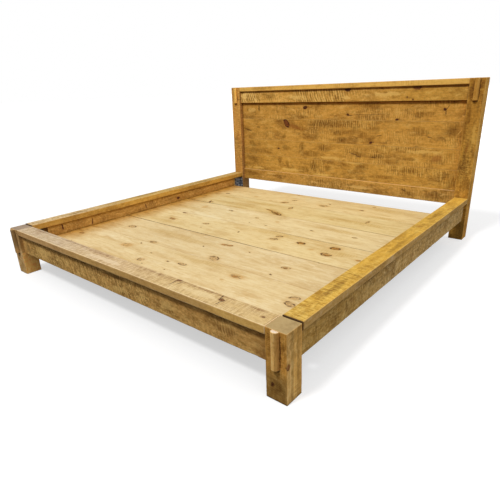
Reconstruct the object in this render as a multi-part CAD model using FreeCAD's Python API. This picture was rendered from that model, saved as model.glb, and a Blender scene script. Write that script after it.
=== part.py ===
import FreeCAD, Part
import os
from FreeCAD import Vector as V

# King-size rustic platform bed of rough-sawn pine: head and foot assemblies, side rails with
# flat caps, loose deck panels on cleats, centre beam on legs.  Millimetres, +Z up.
# Foot end at -Y, head end at +Y, origin on the floor under the middle of the bounding box.

# ---------------------------------------------------------------- driving dimensions
WIDTH = 2134.0            # over the posts
POST = 95.0               # square posts
REACH = 2160.0            # foot post front face to head post front face
FOOT_POST_H = 298.0
HEAD_POST_H = 1072.0

STRIP_W = 32.0            # round-fronted strips on the posts
STRIP_D = 19.0
FOOT_STRIP_Z0 = 142.0
HEAD_STRIP_Z0 = 937.0

CAP_T = 36.0              # thickness of all cap boards
SIDE_CAP_W = 89.0
SIDE_CAP_TOP = 301.0
FOOT_CAP_TOP = 299.0
APRON_T = 38.0
APRON_Z0 = 141.0
INSET = 19.0              # aprons set back from the cap's outer edge
INNER_T = 22.0            # inner boards of the side rails
BRACKET_BAY = 104.0       # length left free at each rail end for the bracket

PANEL_SET = 32.0          # headboard planks behind the posts' front
PLANK_T = 25.0
PLANK_Z = [242.0, 339.0, 479.0, 619.0, 801.0, 1036.0]
BOTTOM_PROUD = 3.0
GROOVE = 12.0             # planks enter the posts this far
BAND_SET = 13.0
BAND_Z0 = 938.0
BATTEN_W, BATTEN_T = 70.0, 20.0
BATTEN_X = [-640.0, 0.0, 640.0]

DECK_TOP = 193.0
DECK_T = 19.0
DECK_GAP = 0.2            # deck underside over the cleats
DECK_Y = [60.0, 206.0, 513.0, 820.0, 1118.0, 1433.0, 1740.0, 2048.0]
PANEL_GAP = 2.0           # open seam between the loose panels
CLEAT_W = 38.0
CLEAT_Z0 = 136.0

BEAM_W, BEAM_H = 38.0, 89.0
LEG_Y = [420.0, 1050.0, 1680.0]
LEG_W, LEG_T = 70.0, 38.0
LEG_Z0, LEG_Z1 = 25.0, 170.0
STUD_R, BORE_R = 5.0, 5.3
PAD_R, PAD_H = 20.0, 8.0

EASE = 2.5                # eased arrises

# ---------------------------------------------------------------- derived
HX = WIDTH / 2.0
PI = HX - POST                                  # inner face of the posts
Y_MIN, Y_MAX = -STRIP_D, REACH + POST
YC = (Y_MIN + Y_MAX) / 2.0                      # shifts y so that the origin is central
SIDE_CAP_Z0 = SIDE_CAP_TOP - CAP_T
FOOT_CAP_Z0 = FOOT_CAP_TOP - CAP_T
APRON_XO = HX - INSET                           # side apron outer face
APRON_XI = APRON_XO - APRON_T
INNER_XI = APRON_XI - INNER_T
CLEAT_XI = INNER_XI - CLEAT_W
DECK_Z0 = DECK_TOP - DECK_T
CLEAT_Z1 = DECK_Z0 - DECK_GAP
DECK_X = INNER_XI - 2.0
DECK_X1 = PI - 4.0                              # first board, between the posts
FOOT_APRON_Y1 = INSET + APRON_T
CROSS_Y0 = DECK_Y[-1] - BEAM_W
BEAM_Z0 = CLEAT_Z1 - BEAM_H

NODES = {}


def box(x0, x1, y0, y1, z0, z1):
    x0, x1 = min(x0, x1), max(x0, x1)
    return Part.makeBox(x1 - x0, y1 - y0, z1 - z0, V(x0, y0, z0))


def eased(shape, r=EASE):
    return shape.makeFillet(r, shape.Edges)


def board(x0, x1, y0, y1, z0, z1, r=EASE):
    return eased(box(x0, x1, y0, y1, z0, z1), r)


def mirror(shape):
    return shape.mirror(V(0, 0, 0), V(1, 0, 0))


def cyl(r, h, p, d):
    return Part.makeCylinder(r, h, V(*p), V(*d))


def put(name, shape):
    s = shape.copy()
    s.translate(V(0, -YC, 0))
    NODES[name] = s


def pair(name, right):
    """right-hand piece (x > 0) and its mirror image"""
    put(name + "_right", right)
    put(name + "_left", mirror(right))


def hexagon(r, h, p, d):
    """hex prism of across-corner radius r from point p along unit axis d"""
    import math
    d = V(*d)
    u = V(0, 0, 1) if abs(d.z) < 0.5 else V(1, 0, 0)
    w = d.cross(u)
    c = V(*p)
    pts = [c + u * (r * math.cos(math.radians(60 * i))) + w * (r * math.sin(math.radians(60 * i)))
           for i in range(6)]
    pts.append(pts[0])
    return Part.Face(Part.makePolygon(pts)).extrude(d * h)


# ---------------------------------------------------------------- headboard
head_parts = {}
for i in range(1, 5):
    z0, z1 = PLANK_Z[5 - i], PLANK_Z[6 - i]
    # plank 1 is the top one
    head_parts["headboard_plank_%d" % i] = board(-PI - GROOVE, PI + GROOVE, REACH + PANEL_SET,
                                                 REACH + PANEL_SET + PLANK_T, z0, z1, 1.5)
head_parts["headboard_bottom_board"] = board(-PI - GROOVE, PI + GROOVE, REACH + PANEL_SET - BOTTOM_PROUD,
                                             REACH + PANEL_SET + PLANK_T, PLANK_Z[0], PLANK_Z[1], 2.0)
cap_body = board(-PI, PI, REACH, REACH + POST, HEAD_POST_H - CAP_T, HEAD_POST_H)
ten_h = box(-PI - 30, PI + 30, REACH + 22, REACH + 75, HEAD_POST_H - 27, HEAD_POST_H - 9)
head_parts["headboard_cap_rail"] = cap_body.fuse(ten_h).removeSplitter()

head_post = board(PI, HX, REACH, REACH + POST, 0, HEAD_POST_H, 3.0)
housing = box(PI - 1, PI + GROOVE, REACH + PANEL_SET, REACH + PANEL_SET + PLANK_T, PLANK_Z[1], PLANK_Z[5])
housing = housing.fuse(box(PI - 1, PI + GROOVE, REACH + PANEL_SET - BOTTOM_PROUD,
                           REACH + PANEL_SET + PLANK_T, PLANK_Z[0], PLANK_Z[1]))
head_post = head_post.cut(housing).cut(ten_h)

for n, s in head_parts.items():
    put(n, s)
put("headboard_band", board(-PI, PI, REACH + BAND_SET, REACH + PANEL_SET, BAND_Z0, HEAD_POST_H - CAP_T, 2.0))

# battens behind the planks, with pan-head screws
by0 = REACH + PANEL_SET + PLANK_T
for n, bx in zip(["left", "centre", "right"], BATTEN_X):
    b = board(bx - BATTEN_W / 2, bx + BATTEN_W / 2, by0, by0 + BATTEN_T, 256, 1024, 2.0)
    for zc in (290.5, 409, 549, 710, 900):
        b = b.cut(cyl(2.1, 60, (bx, by0 - 20, zc), (0, 1, 0)))
    put("headboard_batten_" + n, b)
screws = []
for bx in BATTEN_X:
    for zc in (290.5, 409, 549, 710, 900):
        head = cyl(4.5, 2.6, (bx, by0 + BATTEN_T, zc), (0, 1, 0))
        head = head.makeFillet(1.2, [head.Edges[0]])
        shank = cyl(2.0, BATTEN_T, (bx, by0, zc), (0, 1, 0))
        screws.append(head.fuse(shank).removeSplitter())
put("batten_screws", Part.makeCompound(screws))


# ---------------------------------------------------------------- strips with a round front
def strip(xc, yface, z0, z1):
    """stands proud of yface towards -Y"""
    w, d, s = STRIP_W / 2.0, STRIP_D, 6.0
    p = [V(xc - w, yface, z0), V(xc - w, yface - s, z0), V(xc, yface - d, z0), V(xc + w, yface - s, z0),
         V(xc + w, yface, z0)]
    k = 0.62
    left = Part.BezierCurve()
    left.setPoles([p[1], p[1] + V(0, -(d - s) * k, 0), p[2] + V(-w * k, 0, 0), p[2]])
    right = Part.BezierCurve()
    right.setPoles([p[2], p[2] + V(w * k, 0, 0), p[3] + V(0, -(d - s) * k, 0), p[3]])
    wire = Part.Wire([Part.makeLine(p[0], p[1]), left.toShape(), right.toShape(), Part.makeLine(p[3], p[4]),
                      Part.makeLine(p[4], p[0])])
    body = Part.Face(wire).extrude(V(0, 0, z1 - z0))
    return body


xs = HX - POST / 2.0
pair("head_post_strip", strip(xs, REACH, HEAD_STRIP_Z0, HEAD_POST_H))
pair("foot_post_strip", strip(xs, 0.0, FOOT_STRIP_Z0, FOOT_POST_H))

# ---------------------------------------------------------------- footboard
foot_cap = board(-PI, PI, 0, POST, FOOT_CAP_Z0, FOOT_CAP_TOP)
ten_f = box(-PI - 30, PI + 30, 22, 75, FOOT_CAP_Z0 + 9, FOOT_CAP_Z0 + 26)
put("footboard_cap_rail", foot_cap.fuse(ten_f).removeSplitter())
foot_apron = board(-PI, PI, INSET, FOOT_APRON_Y1, APRON_Z0, FOOT_CAP_Z0, 2.0)
ten_a = box(-PI - 30, PI + 30, INSET + 10, FOOT_APRON_Y1 - 10, APRON_Z0 + 14, FOOT_CAP_Z0 - 16)
foot_apron = foot_apron.fuse(ten_a).removeSplitter()
foot_cleat = board(-PI, PI, FOOT_APRON_Y1, FOOT_APRON_Y1 + CLEAT_W, CLEAT_Z0, CLEAT_Z1, 1.5)

foot_post = board(PI, HX, 0, POST, 0, FOOT_POST_H, 3.0)
foot_post = foot_post.cut(ten_f).cut(ten_a)

# ---------------------------------------------------------------- side rails (right side)
side_cap = board(HX - SIDE_CAP_W, HX, POST + 1.5, REACH - 1.0, SIDE_CAP_Z0, SIDE_CAP_TOP)
side_apron = board(APRON_XI, APRON_XO, POST + 0.5, REACH - 0.5, APRON_Z0, SIDE_CAP_Z0, 2.0)
inner = board(INNER_XI, APRON_XI, POST + BRACKET_BAY, DECK_Y[-1], APRON_Z0, SIDE_CAP_Z0, 1.5)
side_cleat = board(CLEAT_XI, INNER_XI, POST + BRACKET_BAY, DECK_Y[-1], CLEAT_Z0, CLEAT_Z1, 1.5)

# ---------------------------------------------------------------- angle brackets at the four corners
BR_T, BR_A, BR_B, BR_Z0, BR_Z1 = 4.0, 36.0, 76.0, 155.0, 255.0
LAG_R, LAG_HEX, WASH_R = 4.0, 7.5, 9.5
lag_a = [(APRON_XI - 22.0, 178.0), (APRON_XI - 22.0, 232.0)]      # x, z on the post face
lag_b = [(26.0, 232.0), (26.0, 178.0), (58.0, 205.0)]            # distance from the post, z


def angle_bracket(yface, sgn):
    """sgn +1: post face at yface looks to +Y (foot post back); -1: looks to -Y (head post front)"""
    def yy(a, b):
        return (yface + a, yface + b) if sgn > 0 else (yface - b, yface - a)
    a0, a1 = yy(0, BR_T)
    b0, b1 = yy(0, BR_B)
    leg_a = box(APRON_XI - BR_A, APRON_XI, a0, a1, BR_Z0, BR_Z1)
    leg_b = box(APRON_XI - BR_T, APRON_XI, b0, b1, BR_Z0, BR_Z1)
    br = leg_a.fuse(leg_b).removeSplitter()
    ed = []
    for e in br.Edges:
        c = e.CenterOfMass
        if abs(e.BoundBox.ZLength) < 0.01 and e.Length < 5 and (abs(c.x - (APRON_XI - BR_A)) < 0.1 or
                                                              abs(abs(c.y - yface) - BR_B) < 0.1):
            ed.append(e)
    br = br.makeFillet(8.0, ed)
    bolts = []
    for x, z in lag_a:
        br = br.cut(cyl(LAG_R + 0.4, 20, (x, yface - 10, z), (0, 1, 0)))
        w = cyl(WASH_R, 1.6, (x, yface + sgn * BR_T, z), (0, sgn, 0))
        h = hexagon(LAG_HEX, 5.4, (x, yface + sgn * (BR_T + 1.6), z), (0, sgn, 0))
        s = cyl(LAG_R, 44 + BR_T + 1.6, (x, yface - sgn * 44, z), (0, sgn, 0))
        bolts.append((w.fuse(h).fuse(s)).removeSplitter())
    for dy, z in lag_b:
        y = yface + sgn * dy
        br = br.cut(cyl(LAG_R + 0.4, 20, (APRON_XI - 12, y, z), (1, 0, 0)))
        w = cyl(WASH_R, 1.6, (APRON_XI - BR_T, y, z), (-1, 0, 0))
        h = hexagon(LAG_HEX, 5.4, (APRON_XI - BR_T - 1.6, y, z), (-1, 0, 0))
        s = cyl(LAG_R, 30 + BR_T + 1.6, (APRON_XI + 30, y, z), (-1, 0, 0))
        bolts.append((w.fuse(h).fuse(s)).removeSplitter())
    return br, bolts


lag_bolts = []
for nm, yf, sg in (("foot", POST, 1), ("head", REACH, -1)):
    br, bolts = angle_bracket(yf, sg)
    pair("rail_bracket_" + nm, br)
    lag_bolts += bolts + [mirror(b) for b in bolts]
    for x, z in lag_a:
        hole = cyl(LAG_R + 0.1, 45.5, (x, yf + sg * 1.0, z), (0, -sg, 0))
        if nm == "foot":
            foot_post = foot_post.cut(hole)
        else:
            head_post = head_post.cut(hole)
    for dy, z in lag_b:
        side_apron = side_apron.cut(cyl(LAG_R + 0.1, 31, (APRON_XI - 1, yf + sg * dy, z), (1, 0, 0)))
put("rail_bracket_bolts", Part.makeCompound(lag_bolts))

# ---------------------------------------------------------------- countersunk screws through the cleats
cleat_screws = []


def csk(p, d, length):
    """countersunk screw, head flush at p, running along d"""
    hd = Part.makeCone(4.4, 2.2, 4.0, V(*p), V(*d))
    sh = cyl(2.2, length, p, d)
    return hd.fuse(sh).removeSplitter()


def csk_hole(p, d, length):
    q = V(*p) - V(*d) * 0.5
    c = Part.makeCylinder(4.6, 0.51, q, V(*d)).fuse(Part.makeCone(4.6, 2.4, 4.1, V(*p), V(*d)))
    return c.fuse(cyl(2.3, length + 0.5, p, d))


z_scr = (CLEAT_Z0 + CLEAT_Z1) / 2.0
for y in (260.0, 560.0, 860.0, 1160.0, 1460.0, 1760.0, 1985.0):
    p, d = (CLEAT_XI, y, z_scr), (1, 0, 0)
    s = csk(p, d, 75.0)
    cleat_screws += [s, mirror(s)]
    hole = csk_hole(p, d, 75.0)
    side_cleat = side_cleat.cut(hole)
    inner = inner.cut(hole)
    side_apron = side_apron.cut(hole)
for x in (-800.0, -480.0, -160.0, 160.0, 480.0, 800.0):
    p, d = (x, FOOT_APRON_Y1 + CLEAT_W, z_scr), (0, -1, 0)
    s = csk(p, d, 60.0)
    cleat_screws.append(s)
    hole = csk_hole(p, d, 60.0)
    foot_cleat = foot_cleat.cut(hole)
    foot_apron = foot_apron.cut(hole)
put("cleat_screws", Part.makeCompound(cleat_screws))

put("footboard_apron", foot_apron)
put("footboard_cleat", foot_cleat)
pair("head_post", head_post)
pair("foot_post", foot_post)
pair("side_rail_cap", side_cap)
pair("side_rail_apron", side_apron)
pair("side_rail_inner_board", inner)
pair("side_rail_cleat", side_cleat)

# ---------------------------------------------------------------- centre beam, cross rail, small angles
beam = board(-BEAM_W / 2, BEAM_W / 2, FOOT_APRON_Y1 + CLEAT_W + 0.5, CROSS_Y0 - 0.5, BEAM_Z0, CLEAT_Z1, 2.0)
cross = board(-CLEAT_XI + 0.5, CLEAT_XI - 0.5, CROSS_Y0, DECK_Y[-1], BEAM_Z0, CLEAT_Z1, 2.0)


def small_angle(x0, y0, sx, sy, z0, h, a=32.0, b=32.0, t=2.5):
    """angle in a corner at (x0, y0): leg a along sx, leg b along sy"""
    xa = sorted((x0, x0 + sx * a))
    xt = sorted((x0, x0 + sx * t))
    yb = sorted((y0, y0 + sy * b))
    yt = sorted((y0, y0 + sy * t))
    s = box(xa[0], xa[1], yt[0], yt[1], z0, z0 + h).fuse(box(xt[0], xt[1], yb[0], yb[1], z0, z0 + h))
    return s.removeSplitter()


# each bracket node is the pair of angles, or the one angle, that holds that joint
put("beam_bracket_head", small_angle(-BEAM_W / 2, CROSS_Y0, -1, -1, BEAM_Z0 + 8, 68.0))
put("beam_bracket_foot", small_angle(-BEAM_W / 2, FOOT_APRON_Y1 + CLEAT_W, -1, 1, CLEAT_Z0 + 3, 32.0))
cr = small_angle(CLEAT_XI, CROSS_Y0, -1, -1, CLEAT_Z0 + 2, 33.0)
pair("cross_rail_bracket", cr)

# ---------------------------------------------------------------- legs with screw glides
leg_bolts, inserts = [], []
for n, ly in zip(["foot", "middle", "head"], LEG_Y):
    x0, x1 = BEAM_W / 2, BEAM_W / 2 + LEG_T
    xc = (x0 + x1) / 2
    leg = board(x0, x1, ly - LEG_W / 2, ly + LEG_W / 2, LEG_Z0, LEG_Z1, 2.0)
    leg = leg.cut(cyl(BORE_R, 66, (xc, ly, LEG_Z0 - 1), (0, 0, 1)))
    leg = leg.cut(cyl(8.0, 13, (xc, ly, LEG_Z0 - 1), (0, 0, 1)))
    for z, dy in ((112.0, -15.0), (150.0, 15.0)):
        hole = cyl(4.1, 120, (-60, ly + dy, z), (1, 0, 0))
        leg = leg.cut(hole)
        beam = beam.cut(hole)
        sh = cyl(4.0, x1 + BEAM_W / 2 + 12, (-BEAM_W / 2 - 12, ly + dy, z), (1, 0, 0))
        dome = cyl(9.0, 4.0, (x1, ly + dy, z), (1, 0, 0))
        dome = dome.makeFillet(3.0, [e for e in dome.Edges if abs(e.CenterOfMass.x - (x1 + 4.0)) < 0.01])
        nut = hexagon(7.5, 6.5, (-BEAM_W / 2 - 1.6, ly + dy, z), (-1, 0, 0))
        ws = cyl(8.5, 1.6, (-BEAM_W / 2 - 1.6, ly + dy, z), (1, 0, 0))
        leg_bolts.append(sh.fuse(dome).fuse(nut).fuse(ws).removeSplitter())
    put("centre_leg_" + n, leg)
    # threaded insert: flange under the leg and a sleeve in it
    fl = cyl(11.0, 1.8, (xc, ly, LEG_Z0 - 1.8), (0, 0, 1)).fuse(cyl(8.0, 12.0, (xc, ly, LEG_Z0), (0, 0, 1)))
    inserts.append(fl.cut(cyl(BORE_R, 30, (xc, ly, LEG_Z0 - 5), (0, 0, 1))).removeSplitter())
    pad = cyl(PAD_R, PAD_H, (xc, ly, 0), (0, 0, 1))
    pad = pad.makeFillet(2.0, pad.Edges[:1])
    nut = hexagon(9.0, 4.0, (xc, ly, PAD_H), (0, 0, 1))
    stud = cyl(STUD_R, 68.0, (xc, ly, PAD_H - 2.0), (0, 0, 1))
    put("levelling_foot_" + n, pad.fuse(nut).fuse(stud).removeSplitter())
put("centre_leg_bolts", Part.makeCompound(leg_bolts))
put("leg_inserts", Part.makeCompound(inserts))
put("centre_beam", beam)
put("head_cross_rail", cross)

# ---------------------------------------------------------------- deck: three loose panels of edge-glued boards
OPEN = (820.0, 1433.0)                 # seams where one panel ends and the next begins
for i in range(7):
    y0, y1 = DECK_Y[i], DECK_Y[i + 1]
    y0 += PANEL_GAP / 2 if y0 in OPEN else 0.0
    y1 -= PANEL_GAP / 2 if y1 in OPEN else 0.0
    dx = DECK_X1 if i == 0 else DECK_X
    put("deck_board_%d" % (i + 1), board(-dx, dx, y0, y1, DECK_Z0, DECK_TOP, 1.0))

# ---------------------------------------------------------------- write
os.makedirs("parts", exist_ok=True)
for name in sorted(NODES):
    shape = NODES[name]
    shape.exportStep("parts/%s.step" % name)
    bb = shape.BoundBox
    print("%-30s solids %2d valid %s vol %10.1f  x %.1f..%.1f y %.1f..%.1f z %.1f..%.1f" % (
        name, len(shape.Solids), shape.isValid(), shape.Volume / 1000.0,
        bb.XMin, bb.XMax, bb.YMin, bb.YMax, bb.ZMin, bb.ZMax))
print("nodes", len(NODES))
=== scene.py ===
import math

import bpy
import numpy as np
from mathutils import Matrix, Vector


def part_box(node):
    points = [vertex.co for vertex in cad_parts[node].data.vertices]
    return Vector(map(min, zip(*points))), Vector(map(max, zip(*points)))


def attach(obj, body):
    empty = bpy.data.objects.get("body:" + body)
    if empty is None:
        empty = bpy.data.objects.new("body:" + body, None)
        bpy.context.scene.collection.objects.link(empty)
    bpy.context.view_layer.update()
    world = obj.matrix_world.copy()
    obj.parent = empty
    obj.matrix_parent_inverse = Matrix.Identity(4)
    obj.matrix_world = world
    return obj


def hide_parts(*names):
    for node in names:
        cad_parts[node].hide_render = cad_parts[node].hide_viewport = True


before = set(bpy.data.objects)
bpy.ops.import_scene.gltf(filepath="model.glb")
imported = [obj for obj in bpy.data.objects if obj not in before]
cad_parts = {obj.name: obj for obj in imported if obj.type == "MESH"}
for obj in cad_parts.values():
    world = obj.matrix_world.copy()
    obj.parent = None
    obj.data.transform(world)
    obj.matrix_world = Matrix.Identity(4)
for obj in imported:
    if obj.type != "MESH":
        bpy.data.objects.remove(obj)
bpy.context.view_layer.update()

TAU = 2 * math.pi
MM = 0.001


# ------------------------------------------------------------------ numbers
def lin(r, g, b):
    """a colour as eye and screen count it, 0 to 255, turned into linear light"""
    out = []
    for c in (r, g, b):
        c /= 255.0
        out.append(c / 12.92 if c <= 0.04045 else ((c + 0.055) / 1.055) ** 2.4)
    return (out[0], out[1], out[2], 1.0)


_TAB = np.random.RandomState(20).rand(4096) * 2 - 1
_PERM = np.random.RandomState(21).permutation(4096)


def vnoise(p, seed=0):
    """smooth noise from -1 to 1 at the points p"""
    p = np.asarray(p, float) + seed * 17.31
    i = np.floor(p).astype(np.int64)
    f = p - i
    u = f * f * f * (f * (f * 6 - 15) + 10)

    def at(dx, dy, dz):
        a = _PERM[(i[:, 0] + dx) & 4095]
        a = _PERM[(a + i[:, 1] + dy) & 4095]
        a = _PERM[(a + i[:, 2] + dz) & 4095]
        return _TAB[a]

    def mix(a, b, w):
        return a + (b - a) * w

    x0 = mix(mix(at(0, 0, 0), at(1, 0, 0), u[:, 0]), mix(at(0, 1, 0), at(1, 1, 0), u[:, 0]), u[:, 1])
    x1 = mix(mix(at(0, 0, 1), at(1, 0, 1), u[:, 0]), mix(at(0, 1, 1), at(1, 1, 1), u[:, 0]), u[:, 1])
    return mix(x0, x1, u[:, 2])


def fbm(p, seed=0, octaves=3):
    total, amp, norm = 0.0, 1.0, 0.0
    for k in range(octaves):
        total = total + amp * vnoise(np.asarray(p) * 2.03 ** k, seed + 3 * k)
        norm += amp
        amp *= 0.5
    return total / norm


def step01(x, a, b):
    t = np.clip((x - a) / (b - a), 0, 1)
    return t * t * (3 - 2 * t)


# ------------------------------------------------------------------ material trees
class Tree:
    def __init__(self, name):
        self.mat = bpy.data.materials.new(name)
        self.mat.use_nodes = True
        self.nt = self.mat.node_tree
        self.nt.nodes.clear()

    def node(self, kind, **kw):
        n = self.nt.nodes.new(kind)
        for k, v in kw.items():
            setattr(n, k, v)
        return n

    def put(self, sock, v):
        if isinstance(v, bpy.types.NodeSocket):
            self.nt.links.new(v, sock)
        else:
            sock.default_value = v

    def math(self, op, a, b=None, c=None, clamp=False):
        n = self.node("ShaderNodeMath", operation=op, use_clamp=clamp)
        self.put(n.inputs[0], a)
        if b is not None:
            self.put(n.inputs[1], b)
        if c is not None:
            self.put(n.inputs[2], c)
        return n.outputs[0]

    def mul(self, a, b):
        return self.math("MULTIPLY", a, b)

    def add(self, a, b):
        return self.math("ADD", a, b)

    def vec(self, op, a, b=None, scale=None):
        n = self.node("ShaderNodeVectorMath", operation=op)
        self.put(n.inputs[0], a)
        if b is not None:
            self.put(n.inputs[1], b)
        if scale is not None:
            self.put(n.inputs["Scale"], scale)
        return n.outputs["Value"] if op in ("LENGTH", "DOT_PRODUCT", "DISTANCE") else n.outputs["Vector"]

    def xyz(self, x, y, z):
        n = self.node("ShaderNodeCombineXYZ")
        for s, v in zip(n.inputs, (x, y, z)):
            self.put(s, v)
        return n.outputs[0]

    def sep(self, v):
        n = self.node("ShaderNodeSeparateXYZ")
        self.put(n.inputs[0], v)
        return n.outputs[0], n.outputs[1], n.outputs[2]

    def noise(self, v, s=(1, 1, 1), detail=2.0, rough=0.5, dist=0.0, colour=False):
        if s != (1, 1, 1):
            v = self.vec("MULTIPLY", v, s)
        n = self.node("ShaderNodeTexNoise")
        self.put(n.inputs["Vector"], v)
        n.inputs["Scale"].default_value = 1.0
        n.inputs["Detail"].default_value = detail
        n.inputs["Roughness"].default_value = rough
        n.inputs["Distortion"].default_value = dist
        return n.outputs[1] if colour else n.outputs[0]

    def remap(self, v, a, b, c=0.0, d=1.0, smooth=True):
        n = self.node("ShaderNodeMapRange", interpolation_type="SMOOTHSTEP" if smooth else "LINEAR", clamp=True)
        self.put(n.inputs["Value"], v)
        for k, x in zip(("From Min", "From Max", "To Min", "To Max"), (a, b, c, d)):
            self.put(n.inputs[k], x)
        return n.outputs[0]

    def ramp(self, fac, stops, interp="LINEAR"):
        n = self.node("ShaderNodeValToRGB")
        r = n.color_ramp
        r.interpolation = interp
        while len(r.elements) < len(stops):
            r.elements.new(0.5)
        for e, (p, c) in zip(r.elements, sorted(stops, key=lambda s: s[0])):
            e.position = p
            e.color = c if hasattr(c, "__len__") else (c, c, c, 1)
        self.put(n.inputs[0], fac)
        return n.outputs[0]

    def mix(self, fac, a, b, mode="MIX"):
        n = self.node("ShaderNodeMix", data_type="RGBA", blend_type=mode, clamp_factor=True)
        self.put(n.inputs[0], fac)
        self.put(n.inputs[6], a)
        self.put(n.inputs[7], b)
        return n.outputs[2]

    def attr(self, name):
        return self.node("ShaderNodeAttribute", attribute_name=name).outputs["Fac"]

    def finish(self, colour, rough, normal=None, metallic=0.0, specular=0.35, **consts):
        p = self.node("ShaderNodeBsdfPrincipled")
        self.put(p.inputs["Base Color"], colour)
        self.put(p.inputs["Roughness"], rough)
        self.put(p.inputs["Metallic"], metallic)
        p.inputs["Specular IOR Level"].default_value = specular
        for k, v in consts.items():
            p.inputs[k.replace("_", " ")].default_value = v
        if normal is not None:
            self.put(p.inputs["Normal"], normal)
        out = self.node("ShaderNodeOutputMaterial")
        self.put(out.inputs["Surface"], p.outputs[0])
        return self.mat

    def bump(self, height, distance, strength=1.0):
        n = self.node("ShaderNodeBump")
        n.inputs["Strength"].default_value = strength
        n.inputs["Distance"].default_value = distance
        self.put(n.inputs["Height"], height)
        return n.outputs[0]


LOOK = dict(
    early=(205, 158, 84), late=(146, 98, 42), shade=(0.60, 0.52, 0.40), pale=(232, 196, 132),
    ring=0.45, ring_mm=4.2, pith=(25.0, -70.0), wander=26.0,
    fibre=0.35, blotch=0.60, blotch_mm=(240, 90), streak=0.45, cloud=0.50, cloud_mm=(60, 24),
    chatter=0.45, chatter_mm=15.0, slope=0.12, chatter_bias=0.0, fleck=0.25, fleck_mm=(11.8, 4.2), mottle=0.30,
    warp=0.015,
    knot=(128, 74, 34), knot_dark=(52, 30, 16), halo=0.35, soft=(0.50, 0.46, 0.40),
    knot_mix=0.80, rim=0.85, light=0.6, fuzz=0.0, calm=None, crack=(40, 26, 14), end=(150, 112, 66), end_mix=0.5, sides=(), pools=(),
    arris=(214, 176, 112), arris_mix=0.35, grime=0.25,
    rough=0.62, spec=0.30, bump=0.55, attrs=True, tint=None, back=None,
)


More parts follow.
